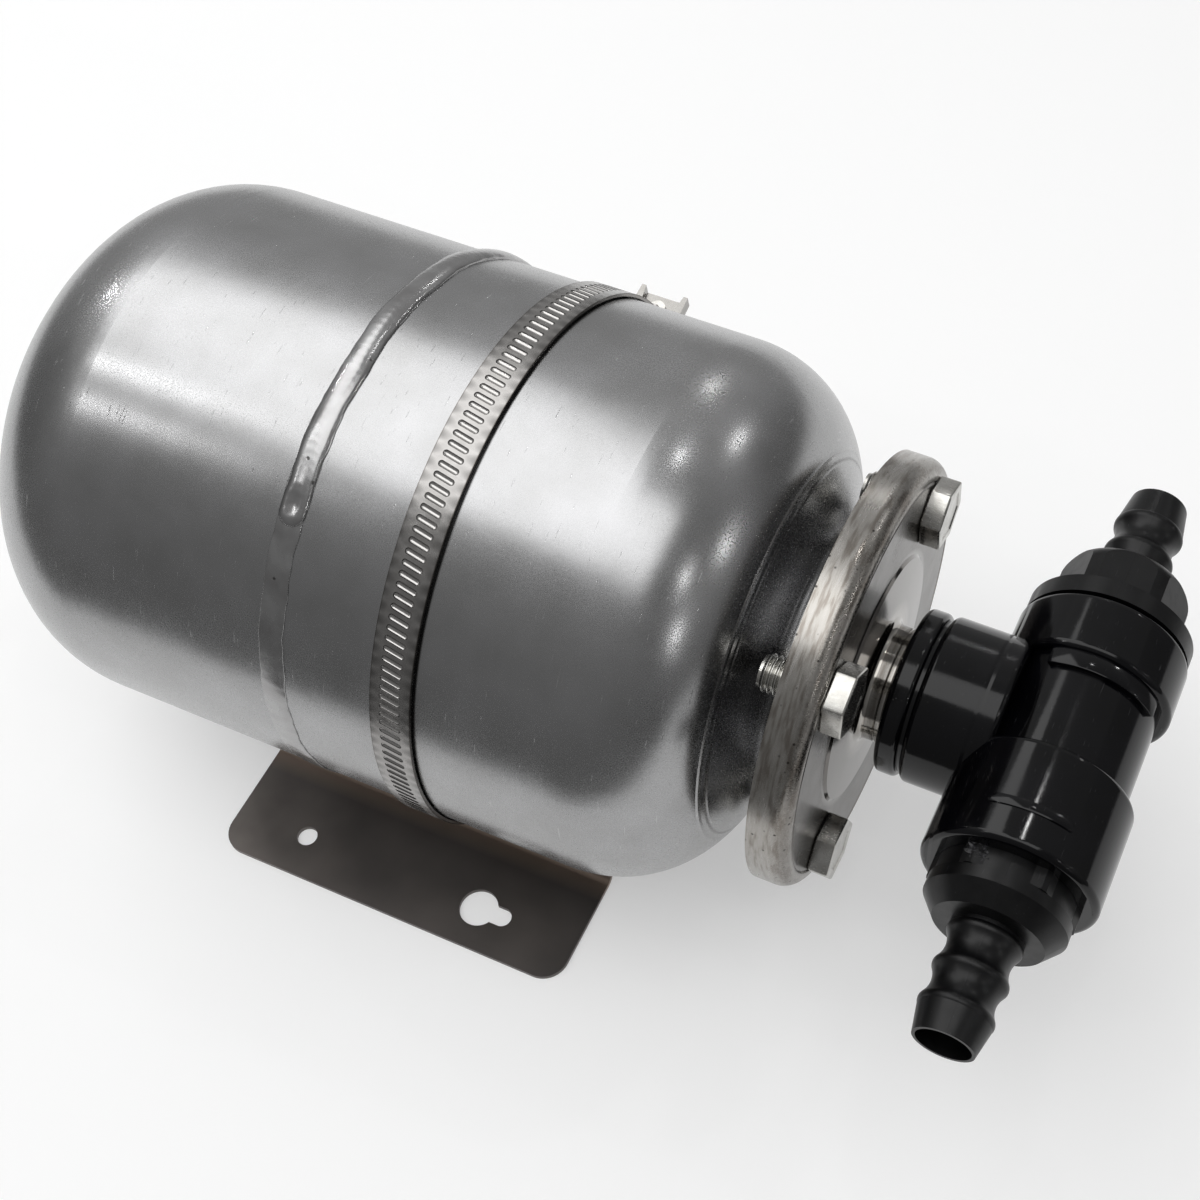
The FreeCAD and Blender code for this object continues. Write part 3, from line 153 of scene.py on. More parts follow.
def sum_up(tree, operation, first, second=0.0):
    """One step of arithmetic on values or numbers."""
    return add(tree, "Math", {"operation": operation}, {0: first, 1: second}).outputs["Value"]


def away_from(tree, centre, keep):
    """The distance in mm from a point, or from a line: keep is (0, 1, 1) for
    a line along X."""
    place = add(tree, "TexCoord", {}, {})
    moved = add(tree, "VectorMath", {"operation": "SUBTRACT"},
                {0: place.outputs["Object"], 1: centre})
    flat = add(tree, "VectorMath", {"operation": "MULTIPLY"}, {0: moved.outputs[0], 1: keep})
    length = add(tree, "VectorMath", {"operation": "LENGTH"}, {0: flat.outputs[0]})
    return sum_up(tree, "MULTIPLY", length.outputs["Value"], 1.0 / MM)


def near_to(tree, value, place, half_width):
    """1 where a value is at a place, fading to 0 at half_width from it."""
    off = sum_up(tree, "ABSOLUTE", sum_up(tree, "SUBTRACT", value, place))
    return spread(tree, off, 1.0, 0.0, 0.0, half_width)


def grain(tree, size_mm, detail=2.0, stretch=(1.0, 1.0, 1.0)):
    """A noise whose features are about size_mm across."""
    place = add(tree, "TexCoord", {}, {})
    scaled = add(tree, "Mapping", {}, {"Vector": place.outputs["Object"], "Scale": stretch})
    noise = add(tree, "TexNoise", {}, {"Vector": scaled.outputs["Vector"],
                                       "Scale": 1.0 / (size_mm * MM), "Detail": detail})
    return noise.outputs["Fac"]


def pits(tree, spacing_mm, radius_mm, share):
    """1 in small round pits: one in each cell of spacing_mm, in a share of the cells."""
    place = add(tree, "TexCoord", {}, {})
    cells = add(tree, "TexVoronoi", {}, {"Vector": place.outputs["Object"],
                                         "Scale": 1.0 / (spacing_mm * MM)})
    pit = spread(tree, cells.outputs["Distance"], 1.0, 0.0,
                 0.5 * radius_mm / spacing_mm, radius_mm / spacing_mm)
    chance = add(tree, "SeparateColor", {}, {"Color": cells.outputs["Color"]})
    kept = sum_up(tree, "LESS_THAN", chance.outputs["Red"], share)
    return sum_up(tree, "MULTIPLY", pit, kept)


def spread(tree, value, low, high, start=0.3, end=0.7):
    """Map the part of a value from start to end onto low to high."""
    made = add(tree, "MapRange", {}, {"Value": value, "From Min": start, "From Max": end,
                                      "To Min": low, "To Max": high})
    return made.outputs["Result"]


def ramp(tree, value, stops):
    """Turn a value into colours: stops are (position, hex code) pairs."""
    made = add(tree, "ValToRGB", {}, {"Fac": value})
    elements = made.color_ramp.elements
    elements[0].position, elements[0].color = stops[0][0], colour(stops[0][1])
    elements[1].position, elements[1].color = stops[-1][0], colour(stops[-1][1])
    for position, code in stops[1:-1]:
        elements.new(position).color = colour(code)
    return made.outputs["Color"]


def tint(tree, under, code, amount):
    """Lay a colour over another by an amount from 0 to 1."""
    made = add(tree, "MixRGB", {}, {"Fac": amount, "Color1": under, "Color2": colour(code)})
    return made.outputs["Color"]


def relief(tree, height, depth_mm, under=None):
    """A bump of the given real depth."""
    sockets = {"Height": height, "Distance": depth_mm * MM, "Strength": 1.0}
    if under is not None:
        sockets["Normal"] = under
    return add(tree, "Bump", {}, sockets).outputs["Normal"]


def finish_with(tree, shader, base, roughness, normal=None):
    """Link what varies over the surface: its colour, gloss and relief."""
    tree.links.new(base, shader.inputs["Base Color"])
    tree.links.new(roughness, shader.inputs["Roughness"])
    if normal is not None:
        tree.links.new(normal, shader.inputs["Normal"])


def dress(material, *names):
    """Give solids a material."""
    for name in names:
        mesh = nodes[name].data
        for index in range(len(mesh.materials)):
            mesh.materials[index] = material
    print(material.name, "->", ", ".join(names))


# %% [markdown]
# ## Satin stainless steel for the tank
#
# The halves are deep-drawn from stainless sheet and blasted, so the surface
# is a soft satin. A photograph of it shows a faint mottle about a centimetre
# across from the drawing, a fine grain, and a few pits and hairlines from
# handling. One could paint each of these. Here they all come from noises with
# real sizes. The gloss varies from grain to grain, because the tops of a
# blasted skin are smoother than its hollows: that gives a lamp's reflection
# a bright core with a soft halo. A metal keeps the default IOR.

# %% Satin stainless steel
MOTTLE_MM = 14.0
GRAIN_MM = 0.4
PIT_SPACING_MM = 6.0
PIT_RADIUS_MM = 0.32
PIT_SHARE = 0.02
PIT_DEPTH_MM = 0.02
MOTTLE_DEPTH_MM = 0.06
GRAIN_DEPTH_MM = 0.0008
HAIRLINE_MM = 0.35
GAP_FROM_BAND = 0.3
GAP_HALF_WIDTH = 0.45
CREASE_RADIUS = 43.8
CREASE_HALF_WIDTH = 0.55
CREASE_DEPTH_MM = 0.16
CREASE_FROM_X = 99.0
INNER_CREASE_RADIUS = 41.9
INNER_CREASE_HALF_WIDTH = 0.5

satin_steel, tree, shader = new_finish("satin stainless steel")
shader.inputs["Metallic"].default_value = 1.0
mottle = grain(tree, MOTTLE_MM, 4.0)
fine = grain(tree, GRAIN_MM, 2.0)
specks = pits(tree, PIT_SPACING_MM, PIT_RADIUS_MM, PIT_SHARE)
hairs = spread(tree, grain(tree, HAIRLINE_MM, 2.0, (1.0, 0.06, 0.06)), 0.0, 1.0, 0.70, 0.76)
x_mm = along(tree, "X")
off_axis = away_from(tree, at(0), (0, 1, 1))
# A painted shadow darkens the tank in the gap beside the band.
gap = near_to(tree, x_mm, BAND_X + BAND_WIDTH / 2 + GAP_FROM_BAND, GAP_HALF_WIDTH)
# The press leaves a crease where the rounded shoulder turns into the end cone. Painted shade
# darkens its inner line.
past_shoulder = sum_up(tree, "GREATER_THAN", x_mm, CREASE_FROM_X)
crease = sum_up(tree, "MULTIPLY", past_shoulder,
                near_to(tree, off_axis, CREASE_RADIUS, CREASE_HALF_WIDTH))
inner_crease = sum_up(tree, "MULTIPLY", past_shoulder,
                      near_to(tree, off_axis, INNER_CREASE_RADIUS, INNER_CREASE_HALF_WIDTH))
base = ramp(tree, mottle, [(0.3, "9C9C9C"), (0.7, "A8A8A9")])
base = tint(tree, base, "3A3836", sum_up(tree, "MULTIPLY", specks, 0.75))
# Painted shadow: the strip beside the band is made nearly black.
base = tint(tree, base, "0A0A0A", gap)
# Painted shade along the inner line of the crease.
base = tint(tree, base, "4A4846", sum_up(tree, "MULTIPLY", inner_crease, 0.55))
base = tint(tree, base, "C8C8C8", sum_up(tree, "MULTIPLY", hairs, 0.5))
rough = sum_up(tree, "ADD", spread(tree, fine, 0.22, 0.26, 0.35, 0.65),
               sum_up(tree, "MULTIPLY", mottle, 0.05))
swell = relief(tree, mottle, MOTTLE_DEPTH_MM)
skin = relief(tree, fine, GRAIN_DEPTH_MM, swell)
skin = relief(tree, sum_up(tree, "SUBTRACT", crease, inner_crease), CREASE_DEPTH_MM, skin)
skin = relief(tree, sum_up(tree, "ADD", specks, hairs), -PIT_DEPTH_MM, skin)
finish_with(tree, shader, base, rough, skin)
dress(satin_steel, "rear_shell", "front_shell")

# %% [markdown]
# ## Bright stainless steel for the cover
#
# The cover is pressed from thicker sheet and polished, so it mirrors what is
# round it. Brown water stains and rust pits sit on its rolled edge, where the
# polish was stretched dull. The flat outside the pressed ring has darkened,
# and inside the ring it is clean, with fine turning lines. The colour is
# darker than the tank's, because a polished face shows the dark room as well
# as the lamps.

# %% Polished stainless steel
STAIN_MM = 0.9
RUST_SPACING_MM = 2.0
TURNING_LINE_MM = 0.5
RING_RADIUS = 27.6
# Each pair says where a tone starts and where it is full, in mm.
RING_FADE = (-0.4, 1.4)
RIM_FADE = (4.6, 3.4)
SPIGOT_FOOT = (14.5, 18.0)
RIM_EDGE_OFFSET = 0.5
RIM_EDGE_HALF_WIDTH = 4.2

bright_steel, tree, shader = new_finish("polished stainless steel")
shader.inputs["Metallic"].default_value = 1.0
off_axis = away_from(tree, at(0), (0, 1, 1))
x_mm = along(tree, "X")
stain = grain(tree, STAIN_MM, 4.0, (1.0, 0.15, 0.15))
grit = grain(tree, 0.45, 2.0)
rim = spread(tree, off_axis, 0.0, 1.0, COVER_RADIUS - RIM_FADE[0], COVER_RADIUS - RIM_FADE[1])
edge = near_to(tree, sum_up(tree, "SUBTRACT", off_axis, x_mm),
               COVER_RADIUS - COVER_SEAT_X - RIM_EDGE_OFFSET, RIM_EDGE_HALF_WIDTH)
# Outside the pressed ring the flat is stained dark; inside it the polish is clean.
outer = spread(tree, off_axis, 0.0, 1.0, RING_RADIUS + RING_FADE[0], RING_RADIUS + RING_FADE[1])
base = ramp(tree, stain, [(0.35, "938E88"), (0.5, "9F9C97"), (0.65, "A8A5A1")])
flat = sum_up(tree, "MULTIPLY", sum_up(tree, "SUBTRACT", 1.0, rim),
              spread(tree, off_axis, 0.0, 1.0, SPIGOT_FOOT[0], SPIGOT_FOOT[1]))
base = tint(tree, base, "75726F", flat)
base = tint(tree, base, "5F5C59", sum_up(tree, "MULTIPLY", outer, flat))
stained = sum_up(tree, "MULTIPLY", rim, spread(tree, stain, 0.30, 0.0, 0.36, 0.50))
base = tint(tree, base, "52483F", stained)
base = tint(tree, base, "4E463F", sum_up(tree, "MULTIPLY", edge, 0.45))
rust = sum_up(tree, "MULTIPLY", pits(tree, RUST_SPACING_MM, 0.35, 0.35), rim)
base = tint(tree, base, "1E1A17", sum_up(tree, "MULTIPLY", rust, 0.85))
dull = sum_up(tree, "MULTIPLY", edge, spread(tree, grit, 0.0, 0.16, 0.4, 0.6))
dull = sum_up(tree, "ADD", dull, sum_up(tree, "MULTIPLY", outer, 0.14))
rough = sum_up(tree, "ADD", spread(tree, stain, 0.09, 0.14), dull)
turned = add(tree, "TexNoise", {"noise_dimensions": "1D"},
             {"W": off_axis, "Scale": 1.0 / TURNING_LINE_MM, "Detail": 2.0}).outputs["Fac"]
skin = relief(tree, turned, 0.006)
skin = relief(tree, sum_up(tree, "MULTIPLY", grit, edge), 0.05, skin)
finish_with(tree, shader, base, rough, skin)
dress(bright_steel, "cover_flange", "outlet_spigot")

# %% [markdown]
# ## Bolts, spring and worm screw
#
# Stainless fasteners are cold-headed and tumbled, which leaves a brushed skin
# on the flats with tool lines across it. A fine noise stretched along one
# direction gives those lines.

# %% Tumbled stainless steel
bolt_steel, tree, shader = new_finish("tumbled stainless bolt steel")
shader.inputs["Metallic"].default_value = 1.0
lines = grain(tree, 0.35, 2.0, (0.25, 1.0, 1.0))
wear = grain(tree, 3.0, 2.0)
finish_with(tree, shader, ramp(tree, wear, [(0.3, "ADABA6"), (0.7, "C6C5C1")]),
            spread(tree, lines, 0.20, 0.28), relief(tree, lines, 0.003))
dress(bolt_steel, "flange_nuts", "clamp_screw", "valve_spring")

# %% [markdown]
# ## Dark sheet for the bracket
#
# The bracket is folded from pickled sheet that has gone nearly black. Painted
# light makes it paler towards its rear end, and a painted highlight shows each
# fold as a brown band. The folds run along X at a known distance from the middle.

# %% Dark pickled sheet
FOLD_Y = 39.0
FOLD_BAND = 5.0
PALE_FROM_X = -20.0
PALE_TO_X = 8.0
bracket_steel, tree, shader = new_finish("dark pickled sheet")
shader.inputs["Metallic"].default_value = 1.0
scuff = grain(tree, 16.0, 3.0)
skin_grain = grain(tree, 0.6, 2.0)
x_mm = along(tree, "X")
from_middle = sum_up(tree, "ABSOLUTE", along(tree, "Y"))
# Painted light: patches of the sheet are lighter towards its rear end.
pale = sum_up(tree, "MULTIPLY", spread(tree, x_mm, 0.6, 0.0, PALE_FROM_X, PALE_TO_X),
              spread(tree, scuff, 0.4, 1.0))
# Painted highlight: a brown band along each fold.
fold = near_to(tree, from_middle, FOLD_Y, FOLD_BAND)
base = ramp(tree, scuff, [(0.3, "5A5654"), (0.7, "645F5C")])
base = tint(tree, base, "96908B", pale)
base = tint(tree, base, "A08E80", sum_up(tree, "MULTIPLY", fold, 0.8))
finish_with(tree, shader, base, spread(tree, scuff, 0.36, 0.46), relief(tree, skin_grain, 0.008))
dress(bracket_steel, "mounting_bracket")

# %% [markdown]
# ## Rolled steel for the clamp band
#
# The worm's thread is pressed into the band. Painted shade draws a dark outline
# in the walls of the dents, and a painted highlight lightens their bottoms. The
# dents could be traced one by one. But the distance from the tank's axis tells
# wall from bottom, so one test of that distance does it all round. The band's
# thin edges get painted shade too.

# %% Rolled band steel
DIRT_DEPTH = 0.085
DIRT_STRENGTH = 2.5
BOTTOM_FADE = (0.14, 0.19)
EDGE_FADE = (0.22, 0.08)
band_steel, tree, shader = new_finish("rolled band steel")
shader.inputs["Metallic"].default_value = 1.0
rolled = grain(tree, 2.5, 3.0)
deep = sum_up(tree, "SUBTRACT", BAND_OUTER_RADIUS, away_from(tree, at(0), (0, 1, 1)))
# Painted shade: the walls of the dents are darkened to a dark outline.
wall = sum_up(tree, "MULTIPLY", near_to(tree, deep, DIRT_DEPTH, DIRT_DEPTH), DIRT_STRENGTH)
wall = sum_up(tree, "MINIMUM", 1.0, wall)
off_middle = sum_up(tree, "ABSOLUTE", sum_up(tree, "SUBTRACT", along(tree, "X"), BAND_X))
# Painted shade: the band's thin edges are darkened.
edge = spread(tree, off_middle, 0.0, 1.0,
              BAND_WIDTH / 2 - EDGE_FADE[0], BAND_WIDTH / 2 - EDGE_FADE[1])
base = ramp(tree, rolled, [(0.3, "93918F"), (0.7, "A3A19F")])
# Painted highlight: the bottoms of the dents are lightened.
bottom = spread(tree, deep, 0.0, 1.0, BOTTOM_FADE[0], BOTTOM_FADE[1])
base = tint(tree, base, "AFADAB", bottom)
base = tint(tree, base, "12110F", wall)
base = tint(tree, base, "4A443E", sum_up(tree, "MULTIPLY", edge, 0.6))
finish_with(tree, shader, base, spread(tree, rolled, 0.20, 0.28), relief(tree, rolled, 0.012))
dress(band_steel, "clamp_band")

housing_steel, tree, shader = new_finish("pressed housing steel")
shader.inputs["Metallic"].default_value = 1.0
press = grain(tree, 2.0, 3.0)
finish_with(tree, shader, ramp(tree, press, [(0.3, "92908C"), (0.7, "A3A19E")]),
            spread(tree, press, 0.22, 0.30), relief(tree, press, 0.015))
dress(housing_steel, "clamp_housing")

# %% [markdown]
# ## Moulded black nylon
#
# The tee and its collar come from a polished mould, so they are glossy: the
# base is nearly black and almost all that the eye sees is the mirror image
# of the lamps. The hose tails come from a plainer mould and are satin. Where
# two mould halves meet, a fine parting line stands proud along the run.

# %% Glossy and satin black nylon
PARTING_HALF_WIDTH = 0.16
SADDLE_STEP_X = 147.9
SADDLE_STEP_HALF_WIDTH = 0.7
NYLON_SHEEN = 0.3


def black_nylon(name, codes, gloss, swirl_mm):
    """A moulded black plastic with a soft swirl and a parting line."""
    material, tree, shader = new_finish(name)
    shader.inputs["Specular IOR Level"].default_value = NYLON_SHEEN
    swirl = grain(tree, swirl_mm, 3.0)
    fine = grain(tree, 0.4, 2.0)
    line = near_to(tree, along(tree, "X"), TEE_X, PARTING_HALF_WIDTH)
    step = near_to(tree, along(tree, "X"), SADDLE_STEP_X, SADDLE_STEP_HALF_WIDTH)
    scratch = spread(tree, grain(tree, 0.3, 2.0, (1.0, 0.08, 1.0)), 0.0, 1.0, 0.70, 0.76)
    base = ramp(tree, swirl, [(0.3, codes[0]), (0.7, codes[1])])
    base = tint(tree, base, "3A3A3C", sum_up(tree, "MULTIPLY", scratch, 0.5))
    skin = relief(tree, swirl, 0.03)
    skin = relief(tree, fine, 0.003, skin)
    skin = relief(tree, line, 0.02, skin)
    skin = relief(tree, step, -0.12, skin)
    finish_with(tree, shader, base, spread(tree, swirl, gloss[0], gloss[1]), skin)
    return material


gloss_black = black_nylon("glossy black nylon", ("030304", "060609"), (0.08, 0.14), 9.0)
dress(gloss_black, "tee_body", "branch_collar")
satin_black = black_nylon("satin black nylon", ("040405", "080809"), (0.30, 0.40), 3.0)
dress(satin_black, "lower_hose_tail", "upper_hose_tail")

# %% [markdown]
# ## Rubber and brass
#
# The seals and the bladder are nitrile rubber with the grey bloom that sulphur
# leaves, and the air valve is turned brass, where the lathe's feed shows as
# fine rings along its axis. The valve's thread is drawn with the same rings,
# coarser, because it is too fine to need a shape of its own.

# %% Nitrile rubber and turned brass
VALVE_THREAD_PITCH = 0.8
rubber, tree, shader = new_finish("black nitrile rubber")
bloom = grain(tree, 4.0, 3.0)
finish_with(tree, shader, ramp(tree, bloom, [(0.3, "131314"), (0.7, "1E1E1F")]),
            spread(tree, bloom, 0.52, 0.66), relief(tree, bloom, 0.05))
dress(rubber, "bladder", "spigot_o_ring", "lower_tail_o_ring", "upper_tail_o_ring", "valve_seal")

brass, tree, shader = new_finish("turned brass")
shader.inputs["Metallic"].default_value = 1.0
tarnish = grain(tree, 3.0, 3.0)
rings = sum_up(tree, "SINE", sum_up(tree, "MULTIPLY", along(tree, "X"),
                                    2 * math.pi / VALVE_THREAD_PITCH))
finish_with(tree, shader, ramp(tree, tarnish, [(0.3, "9C7B3E"), (0.7, "C8A45C")]),
            spread(tree, tarnish, 0.26, 0.36), relief(tree, rings, 0.15))
dress(brass, "valve_stem", "valve_core", "valve_pin")

# %% [markdown]
# ## Working on a piece by hand
#
# An operator acts on all that is selected, and the loaded solids start out
# selected. So every piece begins by clearing the selection, and inside edit
# mode its faces or corners are picked in code, by their place. The last
# function puts a finished piece at rest: its place goes into its mesh, its
# faces point outwards, and it rides on the body that carries it.

# %% Picking and settling
MERGE_WITHIN = 0.00001


def start_alone():
    """Leave edit mode and clear the selection."""
    if bpy.context.object and bpy.context.object.mode != "OBJECT":
        bpy.ops.object.mode_set(mode="OBJECT")
    bpy.ops.object.select_all(action="DESELECT")


def take_up(piece):
    """Make one piece the only selected one, and open it in edit mode."""
    start_alone()
    piece.select_set(True)
    bpy.context.view_layer.objects.active = piece
    bpy.ops.object.mode_set(mode="EDIT")
    bpy.ops.mesh.select_mode(type="VERT")


def pick(piece, kind, test):
    """In edit mode, select the corners, edges or faces that pass a test."""
    bpy.ops.mesh.select_mode(type={"verts": "VERT", "edges": "EDGE", "faces": "FACE"}[kind])
    bpy.ops.mesh.select_all(action="DESELECT")
    mesh = bmesh.from_edit_mesh(piece.data)
    chosen = [item for item in getattr(mesh, kind) if test(item)]
    for item in chosen:
        item.select_set(True)
    bmesh.update_edit_mesh(piece.data)
    return len(chosen)


def settle(piece, name, material, smooth_deg=35.0, body="tank"):
    """Merge, close and turn the faces outwards, apply the place, and ride."""
    piece.name = name
    take_up(piece)
    bpy.ops.mesh.select_all(action="SELECT")
    bpy.ops.mesh.remove_doubles(threshold=MERGE_WITHIN)
    bpy.ops.mesh.normals_make_consistent(inside=False)
    bpy.ops.object.mode_set(mode="OBJECT")
    bpy.ops.object.transform_apply(location=True, rotation=True, scale=True)
    bpy.ops.object.shade_smooth_by_angle(angle=math.radians(smooth_deg))
    piece.data.materials.clear()
    piece.data.materials.append(material)
    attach(piece, body)
    print(name, "has", len(piece.data.polygons), "faces")
    return piece


# %% [markdown]
# ## The girth weld
#
# The two halves are joined by a torch that goes once round the tank. Most of
# the seam is flat with fine raised edges, and over the top a second, thicker
# pass ends in a rounded crater. The bead could be a bent tube, but a weld is
# never that even. So a cross-section is spun round the tank's axis in short
# steps, and then each step is made a little wider or narrower, with ripples
# as far apart as the torch moves between two drops.

# %% The seam
SEAM_WIDTH = 5.6
SEAM_PROUD = 0.25
SEAM_BURIED = 0.3
SEAM_EDGE = 0.22
SEAM_STEPS = 240

start_alone()
bpy.ops.mesh.primitive_plane_add(size=1.0, location=(0, 0, 0))
seam = bpy.context.active_object
take_up(seam)
bpy.ops.transform.resize(value=(SEAM_WIDTH * MM, (SEAM_PROUD + SEAM_BURIED) * MM, 1.0))
pick(seam, "verts", lambda v: v.co.y > 0)
bpy.ops.mesh.bevel(offset=SEAM_EDGE * MM, segments=3, affect="VERTICES")
bpy.ops.mesh.select_all(action="SELECT")
bpy.ops.mesh.delete(type="ONLY_FACE")
bpy.ops.object.mode_set(mode="OBJECT")
seam.rotation_euler = (math.radians(90), 0, 0)
seam.location = round_the_tank(WELD_X, TANK_RADIUS + (SEAM_PROUD - SEAM_BURIED) / 2, 90)
bpy.ops.object.transform_apply(location=True, rotation=True, scale=True)
take_up(seam)
bpy.ops.mesh.select_all(action="SELECT")
bpy.ops.mesh.spin(steps=SEAM_STEPS, angle=math.radians(360), center=at(0), axis=(1, 0, 0))
bpy.ops.object.mode_set(mode="OBJECT")


def polar_of(point):
    """x, radius and angle of a point round the tank, in mm and degrees."""
    y, z = point.y / MM, point.z / MM - AXIS_HEIGHT
    return point.x / MM, math.hypot(y, z), math.degrees(math.atan2(z, -y)) % 360


for corner in seam.data.vertices:
    x, radius, turn = polar_of(corner.co)
    half = x - WELD_X
    wave = 0.16 * math.sin(math.radians(turn * 23)) + 0.10 * math.sin(math.radians(turn * 61 + 40))
    dish = -0.16 * max(0.0, 1.0 - (half / (SEAM_WIDTH / 2 - 0.7)) ** 2)
    if radius > TANK_RADIUS:
        radius += dish + 0.05 * math.sin(math.radians(turn * 97))
    corner.co = round_the_tank(WELD_X + half + wave * (1 if half > 0 else 0.6), radius, turn)

# %% The proud bead
BEAD_HALF_WIDTH = 3.0
BEAD_PROUD = 1.25
BEAD_SIDES = 20
BEAD_FROM_DEG = 49.5
BEAD_TO_DEG = 226.0
BEAD_STEPS = 520
RIPPLE_MM = 1.7
RIPPLE_HEIGHT = 0.010
CRATER_AT, CRATER_REACH, CRATER_DEPTH = 4.6, 3.0, 0.50
GROOVE_AT, GROOVE_REACH, GROOVE_DEPTH = 13.0, 7.0, 0.25

start_alone()
bpy.ops.mesh.primitive_circle_add(vertices=BEAD_SIDES, radius=BEAD_HALF_WIDTH * MM,
                                  location=(0, 0, 0))
bead = bpy.context.active_object
take_up(bead)
bpy.ops.mesh.select_all(action="SELECT")
bpy.ops.transform.resize(value=(1.0, BEAD_PROUD / BEAD_HALF_WIDTH, 1.0))
bpy.ops.object.mode_set(mode="OBJECT")
bead.rotation_euler = (math.radians(180 - BEAD_FROM_DEG), 0, 0)
bead.location = round_the_tank(WELD_X, TANK_RADIUS, BEAD_FROM_DEG)
bpy.ops.object.transform_apply(location=True, rotation=True, scale=True)
take_up(bead)
bpy.ops.mesh.select_all(action="SELECT")
bpy.ops.mesh.spin(steps=BEAD_STEPS, angle=math.radians(BEAD_TO_DEG - BEAD_FROM_DEG),
                  center=at(0), axis=(1, 0, 0))
bpy.ops.object.mode_set(mode="OBJECT")
turns = [polar_of(corner.co)[2] for corner in bead.data.vertices]
print("bead runs from", round(min(turns), 1), "to", round(max(turns), 1), "degrees")
for corner in bead.data.vertices:
    x, radius, turn = polar_of(corner.co)
    half, rise = x - WELD_X, radius - TANK_RADIUS
    arc = math.radians(turn - BEAD_FROM_DEG) * TANK_RADIUS
    left = math.radians(BEAD_TO_DEG - turn) * TANK_RADIUS
    end = max(0.0, min(1.0, min(arc, left) / BEAD_HALF_WIDTH))
    taper = math.sqrt(1.0 - (1.0 - end) ** 2)
    width = taper * (0.96 + 0.03 * math.sin(arc * 0.43) + 0.012 * math.sin(arc * 1.13 + 1.0))
    tip = half / BEAD_HALF_WIDTH
    crater = CRATER_DEPTH * math.exp(-((arc - CRATER_AT) / CRATER_REACH) ** 2 - (tip / 0.55) ** 2)
    groove = GROOVE_DEPTH * math.exp(-((arc - GROOVE_AT) / GROOVE_REACH) ** 2
                                     - ((tip + 0.1) / 0.30) ** 2)
    ripple = RIPPLE_HEIGHT * math.sin(2 * math.pi * (arc + 1.5 * tip * tip) / RIPPLE_MM)
    top = rise * taper * (1.0 - crater - groove) + (ripple if rise > 0.3 else 0.0)
    drift = 0.18 * math.sin(arc * 0.23)
    corner.co = round_the_tank(WELD_X + half * width + drift, TANK_RADIUS + top, turn)

start_alone()
seam.select_set(True)
bead.select_set(True)
bpy.context.view_layer.objects.active = seam
bpy.ops.object.join()

# %% [markdown]
# Weld metal is the tank's own steel, melted and set again. It is smoother than
# the blasted skin, so it takes a brighter gleam, and a few gas pores are left
# in it as dark specks.

# %% Weld metal
PORE_SPACING_MM = 3.0
PORE_RADIUS_MM = 0.42
PORE_SHARE = 0.3
PORE_DEPTH_MM = 0.06
weld_metal, tree, shader = new_finish("weld metal")
shader.inputs["Metallic"].default_value = 1.0
heat = grain(tree, 6.0, 3.0)
pores = pits(tree, PORE_SPACING_MM, PORE_RADIUS_MM, PORE_SHARE)
base = ramp(tree, heat, [(0.3, "979696"), (0.7, "ABABAB")])
base = tint(tree, base, "2A2724", sum_up(tree, "MULTIPLY", pores, 0.7))
skin = relief(tree, grain(tree, 2.4, 3.0), 0.03)
finish_with(tree, shader, base, spread(tree, heat, 0.18, 0.30),
            relief(tree, pores, -PORE_DEPTH_MM, skin))
weld = settle(seam, "girth_weld_bead", weld_metal, 50.0)
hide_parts("girth_weld")

# %% [markdown]
# ## The flange bolts
#
# An M8 bolt with a cold-headed hexagon: the edges are slightly rounded, and
# they are what catches the light, so they are bevelled and not left sharp.
# The top has a shallow dish from the heading punch. Shading is smoothed only
# below the angle of a bevel's step, so the flats stay flat. The shank is drawn
# out of the head's underside one thread at a time: each thread is four short
# extrusions, scaled in and out again. A true helix would not show at this
# size. One bolt is made lying along X and copied to its four holes.

# %% One bolt
HEAD_FLATS = 13.0
HEAD_HEIGHT = 4.6
BOLT_LENGTH = 14.5
THREAD_RADIUS = 4.0
THREAD_ROOT = 3.42
THREAD_PITCH = 1.25
THREAD_COUNT = 11
EDGE_BEVEL = 0.40
DISH_WIDTH = 1.5
DISH_DEPTH = 0.2
BOLT_SMOOTH_DEG = 15.0


def grow(step_mm, size):
    """Extrude the picked face back along X, then scale it."""
    bpy.ops.mesh.extrude_region_move(TRANSFORM_OT_translate={"value": (-step_mm * MM, 0, 0)})
    bpy.ops.transform.resize(value=(1.0, size, size))


start_alone()
bpy.ops.mesh.primitive_cylinder_add(vertices=6, radius=HEAD_FLATS / math.sqrt(3) * MM,
                                    depth=HEAD_HEIGHT * MM, location=(HEAD_HEIGHT / 2 * MM, 0, 0),
                                    rotation=(0, math.radians(90), 0))
bolt = bpy.context.active_object
bpy.ops.object.transform_apply(location=True, rotation=True, scale=True)
take_up(bolt)
bpy.ops.mesh.select_all(action="SELECT")
bpy.ops.mesh.bevel(offset=EDGE_BEVEL * MM, segments=2, affect="EDGES")
pick(bolt, "faces", lambda f: f.normal.x > 0.99 and f.calc_area() > 40 * MM * MM)
bpy.ops.mesh.inset(thickness=DISH_WIDTH * MM, depth=0)
bpy.ops.mesh.inset(thickness=0.35 * MM, depth=-DISH_DEPTH * MM)
bpy.ops.object.mode_set(mode="OBJECT")

